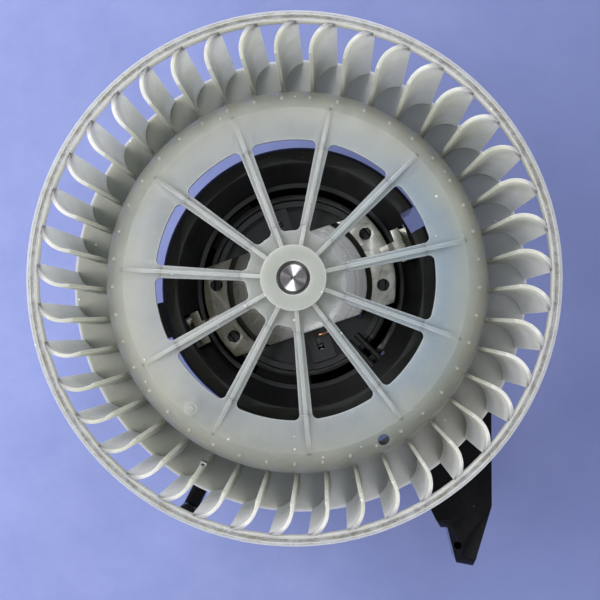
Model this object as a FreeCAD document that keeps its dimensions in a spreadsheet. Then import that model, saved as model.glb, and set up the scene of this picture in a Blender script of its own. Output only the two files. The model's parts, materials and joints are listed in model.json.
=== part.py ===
"""Blower motor wheel: a squirrel-cage fan wheel on its direct-current motor and motor holder.

The spin axis is Z, with the air inlet at the top, and Z = 0 is the plane that the holder stands on.
All sizes are in millimetres.
"""
import FreeCAD, Part
import Sketcher
import math
import os
import re
from FreeCAD import Placement, Rotation, Vector

Z_AXIS = Vector(0, 0, 1)
FULL_TURN = 360.0
TOUCHING = 1e-3

doc = FreeCAD.newDocument("blower_motor_wheel")

# ---------------------------------------------------------------- driving sizes

SIZES = {
    # shaft, bearings and commutator; a size given as text follows other sizes
    "shaft_radius": 4.0,
    "shaft_foot": 2.6,              # lower end of the shaft above the base
    "shaft_end_drop": 5.6,          # upper end of the shaft below the inlet edge
    "shaft_chamfer": 0.25,
    "bearing_radius": "shaft_radius + 3.5",
    "bearing_length": 5.6,
    "bearing_clearance": 0.03,      # radial, between shaft and bearing bore
    "felt_wall": 1.2,
    "retainer_gauge": 0.5,
    "retainer_notch": 0.4,          # half the width of the notches inside a retainer
    "washer_wall": 0.6,
    "washer_radius": "shaft_radius + 1.6",
    "washer_gap": 0.3,              # washer to bearing, and washer to retainer
    "commutator_radius": "shaft_radius + 5",
    "commutator_bar": 2.8,
    "commutator_slit": 0.5,
    # motor can and magnets
    "can_radius": 30.0,
    "can_wall": 1.6,
    "can_foot": 4.0,
    "can_top": 58.0,
    "vent_width": 30.0,             # degrees, of each vent in the can's bottom
    "vent_rim": 5.0,                # can's outside to a vent
    "boss_radius": "bearing_radius + 1.7",
    "boss_wall": 1.6,
    "boss_room": 0.8,               # under the rear bearing's retainer
    "magnet_wall": 5.2,
    "magnet_foot": 11.0,
    "magnet_length": "can_top - 26",
    "magnet_span": 132.0,           # degrees
    "magnet_spring_gauge": 0.8,
    # armature
    "air_gap": 0.8,                 # core to magnets
    "core_radius": "can_radius - can_wall - magnet_wall - air_gap",
    "core_foot": 14.0,
    "core_length": "can_top - 32",
    "slot_count": 12,
    "slot_neck": 2.2,
    "slot_inner_width": 2.4,
    "slot_outer_width": 6.4,
    "tooth_tip": 1.6,
    "core_back_radius": "commutator_radius + 0.6",      # bottom of the slots
    "winding_gap": 0.3,
    "end_turn_height": 5.0,
    "commutator_top": "can_top - 1.4",
    # bearing bridge over the can's mouth
    "bridge_gauge": 2.0,
    "bridge_width": 31.0,
    "bridge_radius": "can_radius + 1.5",
    "bridge_angle": 19.0,           # degrees, of the bar about the spin axis
    "bridge_hole_radius": 2.0,
    "bridge_hole_reach": "can_radius - 2.6",
    "bridge_hole_angle": 19.0,      # degrees, of each hole from the bar's own axis
    "groove_radius": "can_radius - 7",
    "groove_width": 1.6,
    "groove_depth": 0.8,
    "cup_wall": 1.8,
    "cup_chamfer": 1.0,
    "cup_foot_rise": 3.2,           # lower end of the cup's wall above the bar
    "cup_flare": 5.6,               # foot of the cup's flare out from the cup
    "cup_flare_rise": 2.2,
    "bearing_lift": 1.4,            # front bearing above the bridge's underside
    # brush gear
    "card_radius": "can_radius - can_wall - 0.2",
    "card_foot": "can_top - 11.6",
    "card_wall": 2.0,
    "card_hole_radius": "commutator_radius + 3",
    "card_rim_wall": 1.8,
    "card_rim_height": 7.0,
    "brush_width": 6.2,
    "brush_height": 6.6,
    "brush_gap": 0.3,               # brush face to commutator
    "brush_clearance": 0.12,        # each side, brush to tube
    "tube_wall": 0.6,
    "tube_start": "commutator_radius + 2.6",
    "tube_end_gap": 0.5,            # tube's end to the card's rim
    "spring_room": 5.0,             # brush's back to the tube's end wall
    "brush_length": "card_radius - card_rim_wall - tube_end_gap - tube_wall - spring_room"
                    " - commutator_radius - brush_gap",
    "spring_wire": 0.3,             # radius of the brush spring's wire
    "spring_radius": 2.3,
    "spring_turns": 4,
    "spring_slack": 0.05,           # at each end of the spring
    "pigtail_radius": 0.55,
    "pigtail_seat": "brush_length * 3 / 4",     # from the brush's front end to its pigtail
    "pigtail_rise": 2.2,            # pigtail's top above the tube
    "pigtail_bend": 1.76,
    "pigtail_aside": 2.6,           # pigtail's foot beside the tube
    "choke_radius": 1.9,
    "choke_length": 15.0,
    "choke_reach": "card_radius - 9.2",     # choke axis from the spin axis
    "choke_wire": 0.55,             # radius of the choke's wire
    "choke_wire_gap": 0.15,
    "choke_turns": 9,
    "capacitor_width": 7.0,
    "capacitor_height": 6.5,
    "capacitor_depth": 3.2,
    "capacitor_inset": 3.4,         # from the card's rim
    "capacitor_round": 0.5,
    "capacitor_turn": 25.0,         # degrees, from the leads
    # holder: sleeve, funnel, rim and skirt
    "sleeve_radius": "can_radius + 3",      # bore round the can
    "holder_radius": "sleeve_radius + 12.5",
    "holder_wall": 2.2,
    "holder_top": "can_top + bridge_gauge",
    "holder_chamfer": 1.2,
    "skirt_foot": "holder_top - 30",
    "rim_inner_radius": "sleeve_radius + 7.4",
    "funnel_foot_radius": "sleeve_radius + 1.6",
    "funnel_foot": "holder_top - 8",
    "floor_hole_radius": "can_radius - 8",
    "floor_wall": 2.0,
    "holder_rib_count": 8,
    "holder_rib_wall": 1.8,
    "rim_lug_turn": -9.0,           # degrees, of the lug from the left clip
    "rim_lug_width": 12.0,
    "rim_lug_reach": 3.0,           # out from the skirt
    "rim_lug_drop": 9.0,
    "rim_lug_height": 7.5,
    "rim_notch_turn": 8.5,          # degrees, of the notch from the right clip
    "rim_notch_width": 7.2,
    # connector arm
    "arm_top": "holder_top - 4",
    "arm_foot": "arm_top - 18",
    "arm_wall": 2.4,
    "arm_bevel": 2.6,               # bevel round the top of the arm's tip
    "arm_root": 1.7,                # how far the arm's outline reaches into the skirt
    "arm_hole_radius": 1.3,
    "arm_hole_x": 51.9,
    "arm_hole_y": -85.6,
    "arm_hole_floor": 1.5,
    "pocket_reach": 12.0,           # connector pocket beyond the socket
    # spring clips and rubber
    "clip_angle_right": 21.5,       # degrees
    "clip_angle_left": 203.5,       # degrees
    "clip_width": 11.0,
    "clip_neck_width": 3.6,         # the strip between the bridge and the leg
    "clip_side_gap": 0.6,
    "clip_strip": 0.8,              # sheet of the spring clips
    "clip_slot_inner": "sleeve_radius + 2.4",
    "clip_slot_outer": "clip_slot_inner + 3.8",
    "clip_slot_gap": 0.5,
    "clip_tongue": 2.7,             # tongue on the bridge, in from the bar's end
    "clip_hump": 2.0,               # hump above the bridge
    "clip_shoulder": 2.0,           # where the neck widens, in from the leg
    "clip_hook_root": 7.4,          # where the hook leaves the leg, below the bridge
    "clip_hook_tip": 6.4,           # the hook's outer end, below the bridge
    "clip_hook_lip": 5.7,
    "clip_floor_drop": 14.0,        # top of the floor under each clip, below the rim
    "clip_drop": 9.2,               # lower end of the leg below the bridge
    "pad_span": 34.0,               # degrees, of a rubber pad between can and holder
    "pad_foot": 14.0,
    "pad_length": "can_top - 26",
    "ring_pad_wall": 4.0,           # radial width of the rubber ring under the can
    # leads and connector
    "lead_angle": -45.0,            # degrees, where the leads leave the can
    "lead_radius": 1.05,
    "lead_spacing": 3.6,
    "tunnel_reach": 74.2,           # outer end of the leads' tunnel, from the axis
    "lead_height": "arm_top - 5.5",
    "lead_notch": 8.4,
    "lead_start": "card_radius - 3.6",
    "lead_end": 2.6,                # lead's end beside the blade
    "terminal_width": 4.8,
    "terminal_gauge": 0.8,
    "terminal_spacing": 7.0,
    "terminal_tab": 6.0,            # tab under the lead's end
    "terminal_rise": 3.0,           # blade's tip above the socket's mouth
    "socket_wall": 1.8,
    "socket_width": 15.6,
    "socket_depth": 13.2,
    "socket_top": "arm_foot + 7.5",
    "socket_foot": "socket_top - 19.5",
    "socket_x": 53.0,
    "socket_y": -67.0,
    # fan wheel: the inlet ring
    "wheel_radius": 75.0,           # outside of the inlet ring
    "wheel_depth": 57.0,            # inlet edge down to the underside of the plate's rim
    "wheel_gap": 1.0,               # plate's rim above the holder
    "wheel_turn": 12.9,             # degrees, of the wheel on its shaft
    "inlet_height": "holder_top + wheel_gap + wheel_depth",
    "ring_band": 2.6,               # radial width of the inlet ring
    "ring_depth": 5.0,
    "ring_outer_lip": 0.9,          # the two raised lips of the ring
    "ring_inner_lip": 0.5,
    "ring_groove": 0.7,             # how far the face between the lips is sunk
    # fan wheel: the domed plate
    "plate_wall": 1.8,
    "plate_edge": 0.9,              # plate rim beyond the blades' outer ends
    "opening_radius": "wheel_radius - 33.6",            # inner edge of the plate, where the windows end
    "crown_drop": 17.0,             # top of the plate at the opening below the inlet edge
    "crown_slope": 1.5,             # fall of the crown out to its shoulder
    "shoulder_radius": "wheel_radius - 24",             # where the crown starts to turn down
    "shoulder_curve": 13.0,
    "flank_top_radius": "wheel_radius - 17.2",
    "flank_top_drop": 28.0,
    "flank_foot_radius": "wheel_radius - 13.6",
    "balance_hole_radius": 1.7,
    "balance_hole_reach": "wheel_radius - 21",
    "balance_hole_angle": -73.9,    # degrees from the first spoke
    "gate_mark_radius": 1.9,
    "gate_mark_height": 0.25,
    "gate_mark_reach": "shoulder_radius - 2",
    "gate_mark_angle": -141.9,      # degrees from the first spoke
    "pip_radius": 0.45,
    "pip_height": 1.5,              # foot to top; most of it is sunk in the plate
    "pip_drop": 3.6,                # pip's foot below the shoulder
    "pip_reach": "wheel_radius - 20.5",
    # fan wheel: blades
    "blade_count": 41,
    "blade_wall": 1.0,
    "blade_root_radius": "wheel_radius - 15.4",         # inner end of a blade at the plate
    "blade_tip_radius": "wheel_radius - 11.6",          # inner end of a blade at the inlet
    "blade_taper_drop": 34.0,       # depth at which the inner edge has reached the root radius
    "blade_taper_back": 22.0,       # depth of the clearing cut behind the inner edge
    "blade_heel_radius": "wheel_radius - 18",           # inner end of the straight stretch, in the plate
    "blade_curve": 8.1,             # radius of the outer stretch of the blade's section
    "blade_exit_angle": 10.0,       # degrees on that radius, of the outer end
    "blade_start": 2.3,             # degrees, of the first blade from the first spoke
    "blade_top_drop": 0.9,
    "blade_inlay": 0.3,             # how far a blade's end reaches into the ring and the rim
    # fan wheel: hub and spokes
    "spoke_count": 11,
    "spoke_outer_width": 3.8,
    "spoke_inner_width": 2.8,
    "spoke_wall": 2.4,
    "window_round": 1.7,
    "rib_wall": 1.1,
    "rib_height": 2.2,              # at the edge of the hub's disc
    "rib_root_height": 3.3,         # against the hub
    "rib_end_height": 1.54,         # at the edge of the windows
    "rib_reach": "wheel_radius - 23.2",       # radius at which a spoke's rib runs out on the plate
    "hub_radius": "shaft_radius + 5.4",
    "hub_drop": 5.0,                # top of the hub below the inlet edge
    "hub_length": 26.0,
    "hub_disc_radius": 14.0,
    "hub_disc_drop": 12.0,
    "hub_mouth_radius": "shaft_radius + 0.85",
    "hub_mouth_depth": 3.0,
    # balance clip
    "balance_clip_gauge": 0.45,
    "balance_clip_drop": 24.0,      # lower edge of the clip below the inlet edge
    "balance_clip_height": 5.0,
    "balance_clip_seat": "wheel_radius - 14.4",         # inside of the bend
    "balance_clip_grip": 4.0,       # length of blade that the clip holds
    "balance_clip_blade": 26,       # number of the blade that carries the clip
    # mounting leg
    "leg_reach": "wheel_radius + 9",
    "leg_angle": -116.5,            # degrees
    "leg_width": 5.0,
    "leg_top": "holder_top - 8",
    "leg_foot": "leg_top - 10",
    "leg_boss_radius": 3.0,
    "leg_boss_top": "holder_top - 3",
    "leg_boss_foot": "leg_boss_top - 21",
    "leg_hole_radius": 1.3,
    "leg_hole_depth": 16.0,
    # cutting tools reach this far past what they cut
    "overcut": 1.0,
    "weld": 0.5,                    # how far one feature reaches into the next
}

sheet = doc.addObject("Spreadsheet::Sheet", "Sizes")
for row, (alias, value) in enumerate(SIZES.items(), start=1):
    sheet.set(f"A{row}", alias)
    sheet.set(f"B{row}", f"={value}" if isinstance(value, str) else str(value))
    sheet.setAlias(f"B{row}", alias)
doc.recompute()

ALIAS = re.compile(r"\b(" + "|".join(sorted(SIZES, key=len, reverse=True)) + r")\b")


def linked(text):
    """The expression with each size's name turned into a reference to its cell."""
    return ALIAS.sub(r"Sizes.\1", text)


def size(text):
    """The value that an expression of sizes has now."""
    return float(sheet.evalExpression(ALIAS.sub(r"\1", text)))


def bind(target, **expressions):
    """Tie properties of an object to expressions of sizes."""
    for name, text in expressions.items():
        target.setExpression(name, linked(text))


# ---------------------------------------------------------------- drawing helpers

SUB_PARTS = []


def keep(item, name):
    """Name a finished sub-part and put it on the list of what is written."""
    item.Label = name
    SUB_PARTS.append(item)
    return item


def new_body(name):
    return doc.addObject("PartDesign::Body", "body_" + name)


def origin_feature(body, role):
    return next(f for f in body.Origin.OriginFeatures if f.Role == role)


def new_sketch(body, plane, level=None):
    """An empty sketch on one of the body's own planes, raised to a level."""
    sketch = body.newObject("Sketcher::SketchObject", "outline")
    sketch.AttachmentSupport = (origin_feature(body, plane), [""])
    sketch.MapMode = "FlatFace"
    if level is not None:
        sketch.setExpression("AttachmentOffset.Base.z", linked(level))
    return sketch


def arc_between(start, end, radius, side):
    """The arc from start to end that bulges to the left (side 1) or right (side -1) of the way."""
    chord = end - start
    half = chord.Length / 2
    sagitta = radius - math.sqrt(radius ** 2 - half ** 2)
    left = Vector(-chord.y, chord.x, 0).normalize()
    middle = (start + end) / 2 + left * (side * sagitta)
    return Part.Arc(start, middle, end)


def pin_point(sketch, geometry, point, tag, x_text, y_text):
    """Hold one end of a line or arc at a place given by two expressions."""
    for kind, text in (("DistanceX", x_text), ("DistanceY", y_text)):
        index = sketch.addConstraint(Sketcher.Constraint(kind, -1, 1, geometry, point, size(text)))
        sketch.renameConstraint(index, f"{kind}_{tag}")
        sketch.setExpression(f"Constraints.{kind}_{tag}", linked(text))


def draw_outline(sketch, corners, arcs=None):
    """Draw a closed outline through corners; arcs gives some sides a (radius, side) bulge."""
    arcs = arcs or {}
    points = [Vector(size(x), size(y), 0) for x, y in corners]
    count = len(points)
    ends = []
    for number in range(count):
        start, end = points[number], points[(number + 1) % count]
        if number in arcs:
            radius, side = arcs[number]
            geometry = sketch.addGeometry(arc_between(start, end, size(radius), side), False)
            index = sketch.addConstraint(Sketcher.Constraint("Radius", geometry, size(radius)))
            sketch.renameConstraint(index, f"radius_{number}")
            sketch.setExpression(f"Constraints.radius_{number}", linked(radius))
            ends.append((geometry, 1, 2) if side < 0 else (geometry, 2, 1))
        else:
            geometry = sketch.addGeometry(Part.LineSegment(start, end), False)
            ends.append((geometry, 1, 2))
    for number in range(count):
        geometry, first, _ = ends[number]
        before, _, last = ends[number - 1]
        sketch.addConstraint(Sketcher.Constraint("Coincident", before, last, geometry, first))
    for number, (x_text, y_text) in enumerate(corners):
        geometry, first, _ = ends[number]
        pin_point(sketch, geometry, first, number, x_text, y_text)
    return sketch


def draw_circle(sketch, x_text, y_text, radius):
    """Draw a circle whose centre and radius are expressions."""
    centre = Vector(size(x_text), size(y_text), 0)
    geometry = sketch.addGeometry(Part.Circle(centre, Z_AXIS, size(radius)), False)
    pin_point(sketch, geometry, 3, f"centre_{geometry}", x_text, y_text)
    index = sketch.addConstraint(Sketcher.Constraint("Radius", geometry, size(radius)))
    sketch.renameConstraint(index, f"radius_{geometry}")
    sketch.setExpression(f"Constraints.radius_{geometry}", linked(radius))
    return sketch


def check_feature(feature, must_add=None):
    """Recompute, and stop if the feature failed or changed the body the wrong way."""
    before = feature.BaseFeature.Shape.Volume if feature.BaseFeature else 0.0
    doc.recompute()
    change = feature.Shape.Volume - before
    failed = "Invalid" in feature.State or "Error" in feature.State
    wrong_way = must_add is not None and (change <= 0) == must_add
    if failed or wrong_way:
        raise RuntimeError(f"{feature.Name} failed: state {feature.State}, volume change {change:.3f}")
    return feature


def turned(body, corners, arcs=None, cut=False):
    """Turn an outline of (radius, height) corners about Z, adding or cutting."""
    sketch = draw_outline(new_sketch(body, "XZ_Plane"), corners, arcs)
    feature = body.newObject("PartDesign::Groove" if cut else "PartDesign::Revolution", "turned")
    feature.Profile = sketch
    feature.ReferenceAxis = (sketch, ["V_Axis"])
    feature.Angle = FULL_TURN
    return check_feature(feature, must_add=not cut)


def padded(body, sketch, length, both_ways=False):
    """Raise a sketch by a length, on one side of its plane or evenly on both."""
    feature = body.newObject("PartDesign::Pad", "raised")
    feature.Profile = sketch
    feature.SideType = "Symmetric" if both_ways else "One side"
    bind(feature, Length=length)
    return check_feature(feature, must_add=True)


def pocketed(body, sketch, depth, both_ways=False):
    """Cut a sketch down by a depth below its plane, or evenly on both sides."""
    feature = body.newObject("PartDesign::Pocket", "cut")
    feature.Profile = sketch
    feature.SideType = "Symmetric" if both_ways else "One side"
    bind(feature, Length=depth)
    return check_feature(feature, must_add=False)


def repeated(body, feature, count):
    """Repeat a feature evenly round the Z axis."""
    pattern = body.newObject("PartDesign::PolarPattern", "repeated")
    pattern.Originals = [feature]
    pattern.Axis = (origin_feature(body, "Z_Axis"), [""])
    pattern.Angle = FULL_TURN
    bind(pattern, Occurrences=count)
    body.Tip = pattern
    return check_feature(pattern)


def polar(radius, angle):
    """Expressions for the x and y of a point at a radius and an angle in degrees."""
    return f"({radius}) * cos(({angle}) * 1 deg)", f"({radius}) * sin(({angle}) * 1 deg)"


def ring_solid(name, outer, inner, foot, length):
    """A plain ring: one cylinder with another cut out of it."""
    disc = doc.addObject("Part::Cylinder", name + "_disc")
    bore = doc.addObject("Part::Cylinder", name + "_bore")
    bind(disc, **{"Radius": outer, "Height": length, "Placement.Base.z": foot})
    bind(bore, **{"Radius": inner, "Height": length, "Placement.Base.z": foot})
    ring = doc.addObject("Part::Cut", name + "_ring")
    ring.Base = disc
    ring.Tool = bore
    return ring


def block(name, x_span, y_span, z_span):
    """A box from three (low, high) pairs of expressions."""
    box = doc.addObject("Part::Box", name)
    for side, axis, (low, high) in zip(("Length", "Width", "Height"), "xyz", (x_span, y_span, z_span)):
        bind(box, **{side: f"({high}) - ({low})", f"Placement.Base.{axis}": low})
    return box


def joined(kind, name, base, tool):
    """A Part::Cut, Part::Common or Part::Fuse of two objects."""
    result = doc.addObject("Part::" + kind, name)
    result.Base = base
    result.Tool = tool
    return result


def group(name, items):
    """Several separate solids kept as one sub-part."""
    compound = doc.addObject("Part::Compound", name)
    compound.Links = items
    return compound


def turn_about_z(item, angle):
    """Turn a finished sub-part about the spin axis by an expression in degrees."""
    item.Placement = Placement(Vector(0, 0, 0), Rotation(Z_AXIS, size(angle)))
    item.setExpression("Placement.Rotation.Angle", linked(f"({angle}) * 1 deg"))
    return item


def shaped(name, shape, angle=0.0):
    """A sub-part whose shape is worked out here from the sheet's sizes, turned about Z."""
    item = doc.addObject("Part::Feature", name)
    own = shape.Placement
    item.Shape = shape
    item.Placement = Placement(Vector(0, 0, 0), Rotation(Z_AXIS, angle)) * own
    return item


def tube_along(points, radius, bend):
    """A round solid of a radius along straight runs joined by tangent arcs."""
    edges = []
    start = points[0]
    for here, after in zip(points[1:], points[2:]):
        way_in = (here - start).normalize()
        way_out = (after - here).normalize()
        reach = bend * math.tan(way_in.getAngle(way_out) / 2)
        arc_start, arc_end = here - way_in * reach, here + way_out * reach
        inward = (way_out - way_in).normalize()
        to_centre = bend / math.cos(way_in.getAngle(way_out) / 2)
        middle = here + inward * (to_centre - bend)
        edges.append(Part.LineSegment(start, arc_start).toShape())
        edges.append(Part.Arc(arc_start, middle, arc_end).toShape())
        start = arc_end
    edges.append(Part.LineSegment(start, points[-1]).toShape())
    section = Part.Wire(Part.makeCircle(radius, points[0], points[1] - points[0]))
    return Part.Wire(edges).makePipeShell([section], True, False)


def coil(pitch, turns, radius, wire):
    """A helical wire about +Z that starts at the origin's plane; its section has eight flats."""
    path = Part.Wire(Part.makeHelix(pitch, pitch * turns, radius))
    steps = [math.radians(FULL_TURN * flat / 8) for flat in range(9)]
    section = Part.makePolygon([
        Vector(radius + wire * math.cos(step), 0, wire * math.sin(step)) for step in steps])
    return path.makePipeShell([section], True, True)


# ---------------------------------------------------------------- fan wheel

RING_INNER = "wheel_radius - ring_band"
PLATE_RADIUS = "wheel_radius - ring_band + blade_inlay + plate_edge"
PLATE_FOOT = "inlet_height - wheel_depth"
PLATE_TOP = "inlet_height - wheel_depth + plate_wall"
CROWN_TOP = "inlet_height - crown_drop"
SHOULDER_TOP = "inlet_height - crown_drop - crown_slope"
FLANK_TOP = "inlet_height - flank_top_drop"
DISC_TOP = "inlet_height - hub_disc_drop"
HUB_TOP = "inlet_height - hub_drop"
SPOKE_START = "hub_disc_radius + window_round"
SPOKE_END = "opening_radius - window_round"
SPOKE_PITCH = "360 / spoke_count"
BLADE_PITCH = "360 / blade_count"
SECTION_X = "wheel_radius - ring_band + blade_inlay - blade_curve * cos(blade_exit_angle * 1 deg)"
SECTION_Y = "-blade_curve"


def on_section(radius, angle):
    """Expressions for a point on a circle about the centre of the blade's section."""
    x_text, y_text = polar(radius, angle)
    return f"{SECTION_X} + {x_text}", f"{SECTION_Y} + {y_text}"


def make_plate(body):
    """Hub, disc, crown, flank and rim, turned as one profile."""
    corners = [
        ("shaft_radius", f"{HUB_TOP} - hub_length"),
        ("hub_radius", f"{HUB_TOP} - hub_length"),
        ("hub_radius", f"{DISC_TOP} - spoke_wall"),
        ("hub_disc_radius", f"{DISC_TOP} - spoke_wall"),
        ("opening_radius", f"{CROWN_TOP} - spoke_wall"),
        ("opening_radius", f"{CROWN_TOP} - plate_wall"),
        ("shoulder_radius - plate_wall / 4", f"{SHOULDER_TOP} - plate_wall"),
        ("flank_top_radius - plate_wall", f"{FLANK_TOP} - plate_wall / 3"),
        ("flank_foot_radius - plate_wall", PLATE_FOOT),
        (PLATE_RADIUS, PLATE_FOOT),
        (PLATE_RADIUS, PLATE_TOP),
        ("flank_foot_radius", PLATE_TOP),
        ("flank_top_radius", FLANK_TOP),
        ("shoulder_radius", SHOULDER_TOP),
        ("opening_radius", CROWN_TOP),
        ("hub_disc_radius", DISC_TOP),
        ("hub_radius", DISC_TOP),
        ("hub_radius", HUB_TOP),
        ("hub_mouth_radius", HUB_TOP),
        ("hub_mouth_radius", f"{HUB_TOP} - hub_mouth_depth"),
        ("shaft_radius", f"{HUB_TOP} - hub_mouth_depth"),
    ]
    arcs = {6: ("shoulder_curve - plate_wall", 1), 12: ("shoulder_curve", -1)}
    return turned(body, corners, arcs)


def cut_windows(body):
    """The windows between the spokes, with rounded corners."""
    outer = "asin(spoke_outer_width / 2 / opening_radius) / 1 deg"
    inner = "asin(spoke_inner_width / 2 / hub_disc_radius) / 1 deg"
    corners = [
        polar("opening_radius", outer),
        polar("opening_radius", f"{SPOKE_PITCH} - {outer}"),
        polar("hub_disc_radius", f"{SPOKE_PITCH} - {inner}"),
        polar("hub_disc_radius", inner),
    ]
    arcs = {0: ("opening_radius", -1), 2: ("hub_disc_radius", 1)}
    sketch = draw_outline(new_sketch(body, "XY_Plane", f"{DISC_TOP} + overcut"), corners, arcs)
    window = pocketed(body, sketch, "crown_drop - hub_disc_drop + spoke_wall + 3 * overcut")
    windows = repeated(body, window, "spoke_count")
    upright = []
    for number, edge in enumerate(windows.Shape.Edges, start=1):
        low, high = edge.BoundBox.ZMin, edge.BoundBox.ZMax
        is_line = isinstance(edge.Curve, Part.Line)
        thin = edge.BoundBox.XLength < TOUCHING and edge.BoundBox.YLength < TOUCHING
        if is_line and thin and high - low > size("plate_wall") / 2:
            upright.append(f"Edge{number}")
    rounded = body.newObject("PartDesign::Fillet", "rounded")
    rounded.Base = (windows, upright)
    bind(rounded, Radius="window_round")
    return check_feature(rounded)


def raise_ribs(body):
    """The thin rib along each spoke, which runs out on the plate as a wedge."""
    corners = [
        ("hub_radius - weld", f"{DISC_TOP} - weld"),
        ("rib_reach", f"{SHOULDER_TOP} - weld / 2"),
        ("opening_radius", f"{CROWN_TOP} + rib_end_height"),
        ("hub_disc_radius", f"{DISC_TOP} + rib_height"),
        ("hub_radius - weld", f"{DISC_TOP} + rib_root_height"),
    ]
    sketch = draw_outline(new_sketch(body, "XZ_Plane"), corners)
    return repeated(body, padded(body, sketch, "rib_wall", both_ways=True), "spoke_count")


def raise_blades(body):
    """The blades, straight at the heel and hooked forward at the tip, from the rim up into the ring."""
    corners = [
        on_section("blade_curve + blade_wall / 2", "blade_exit_angle"),
        (SECTION_X, "blade_wall / 2"),
        ("blade_heel_radius", "blade_wall / 2"),
        ("blade_heel_radius", "-blade_wall / 2"),
        (SECTION_X, "-blade_wall / 2"),
        on_section("blade_curve - blade_wall / 2", "blade_exit_angle"),
    ]
    arcs = {0: ("blade_curve + blade_wall / 2", -1), 4: ("blade_curve - blade_wall / 2", 1)}
    sketch = new_sketch(body, "XY_Plane", f"{PLATE_FOOT} + plate_wall / 2")
    sketch.AttachmentOffset = Placement(Vector(0, 0, 0), Rotation(Z_AXIS, size("blade_start")))
    draw_outline(sketch, corners, arcs)
    blade = padded(body, sketch, "wheel_depth - plate_wall / 2 - blade_top_drop")
    return repeated(body, blade, "blade_count")


def raise_ring(body):
    """The inlet ring, with a sunk face between two lips."""
    foot = "inlet_height - ring_depth"
    sunk = "inlet_height - ring_groove"
    corners = [
        (RING_INNER, foot),
        ("wheel_radius", foot),
        ("wheel_radius", "inlet_height"),
        ("wheel_radius - ring_outer_lip", "inlet_height"),
        ("wheel_radius - ring_outer_lip", sunk),
        (f"{RING_INNER} + ring_inner_lip", sunk),
        (f"{RING_INNER} + ring_inner_lip", "inlet_height"),
        (RING_INNER, "inlet_height"),
    ]
    return turned(body, corners)


def taper_blades(body):
    """Slant the blades' inner edges out towards the inlet, and end their heels inside the flank."""
    corners = [
        ("blade_root_radius", "inlet_height - blade_taper_drop"),
        ("blade_tip_radius", "inlet_height"),
        ("blade_tip_radius", "inlet_height + overcut"),
        ("blade_heel_radius - overcut", "inlet_height + overcut"),
        ("blade_heel_radius - overcut", "inlet_height - blade_taper_back"),
    ]
    turned(body, corners, cut=True)
    corners = [
        ("blade_heel_radius - overcut", f"{PLATE_FOOT} - overcut"),
        ("flank_foot_radius - plate_wall / 2", f"{PLATE_FOOT} - overcut"),
        ("flank_foot_radius - plate_wall / 2", PLATE_FOOT),
        ("flank_top_radius - plate_wall / 2", FLANK_TOP),
        ("blade_heel_radius - overcut", FLANK_TOP),
    ]
    return turned(body, corners, cut=True)


def add_plate_marks(body):
    """The balance hole, the gate mark and the ejector pips at the blade roots."""
    x_text, y_text = polar("balance_hole_reach", "balance_hole_angle")
    sketch = draw_circle(new_sketch(body, "XY_Plane", CROWN_TOP), x_text, y_text, "balance_hole_radius")
    pocketed(body, sketch, "crown_slope + plate_wall + 3 * overcut")
    x_text, y_text = polar("gate_mark_reach", "gate_mark_angle")
    for radius, height in (("gate_mark_radius", "gate_mark_height"),
                           ("gate_mark_radius / 3", "gate_mark_height * 2")):
        sketch = new_sketch(body, "XY_Plane", f"{SHOULDER_TOP} - weld")
        padded(body, draw_circle(sketch, x_text, y_text, radius), f"weld + crown_slope / 3 + {height}")
    x_text, y_text = polar("pip_reach", "blade_start")
    sketch = new_sketch(body, "XY_Plane", f"{SHOULDER_TOP} - pip_drop")
    draw_circle(sketch, x_text, y_text, "pip_radius")
    return repeated(body, padded(body, sketch, "pip_height"), "blade_count")


def divide(name, moulding, outer, inner):
    """The stretch of the wheel's moulding between two radii, as a sub-part of its own."""
    zone = ring_solid(name + "_zone", outer, inner, f"{PLATE_FOOT} - overcut", "wheel_depth")
    return keep(turn_about_z(joined("Common", name, moulding, zone), "wheel_turn"), name)


def make_fan_wheel():
    """The wheel's one moulding, divided into ring, blades, plate, spokes and hub."""
    moulding = new_body("wheel_moulding")
    make_plate(moulding)
    cut_windows(moulding)
    raise_ribs(moulding)
    add_plate_marks(moulding)
    divide("wheel_hub", moulding, SPOKE_START, "shaft_radius / 2")
    divide("wheel_spokes", moulding, SPOKE_END, SPOKE_START)
    divide("wheel_plate", moulding, "wheel_radius", SPOKE_END)
    ring = new_body("inlet_ring")
    raise_ring(ring)
    blades = new_body("blades")
    blades.AllowCompound = True
    raise_blades(blades)
    taper_blades(blades)
    trimmed = joined("Cut", "blades_on_plate", blades, moulding)
    trimmed = joined("Cut", "fan_blades", trimmed, ring)
    keep(turn_about_z(trimmed, "wheel_turn"), "fan_blades")
    return keep(ring, "inlet_ring")


def make_balance_clip():
    """A U of spring steel pushed over one blade's inner edge."""
    body = new_body("balance_clip")
    inside, outside = "blade_wall / 2", "(blade_wall / 2 + balance_clip_gauge)"
    ends, bend = "balance_clip_seat + balance_clip_grip", "balance_clip_seat - balance_clip_gauge"
    corners = [
        (ends, outside), (bend, outside), (bend, f"-{outside}"), (ends, f"-{outside}"),
        (ends, f"-{inside}"), ("balance_clip_seat", f"-{inside}"),
        ("balance_clip_seat", inside), (ends, inside),
    ]
    sketch = new_sketch(body, "XY_Plane", "inlet_height - balance_clip_drop")
    padded(body, draw_outline(sketch, corners), "balance_clip_height")
    turn = f"wheel_turn + blade_start + balance_clip_blade * {BLADE_PITCH}"
    return keep(turn_about_z(body, turn), "balance_clip")


# ---------------------------------------------------------------- shaft and rotor

SLOT_TOP = "core_radius - tooth_tip"
CORE_TOP = "core_foot + core_length"
WINDING_TOP = "core_foot + core_length + end_turn_height"
COIL_INNER = "core_back_radius + winding_gap"
COIL_OUTER = "core_radius - tooth_tip - winding_gap"


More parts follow.
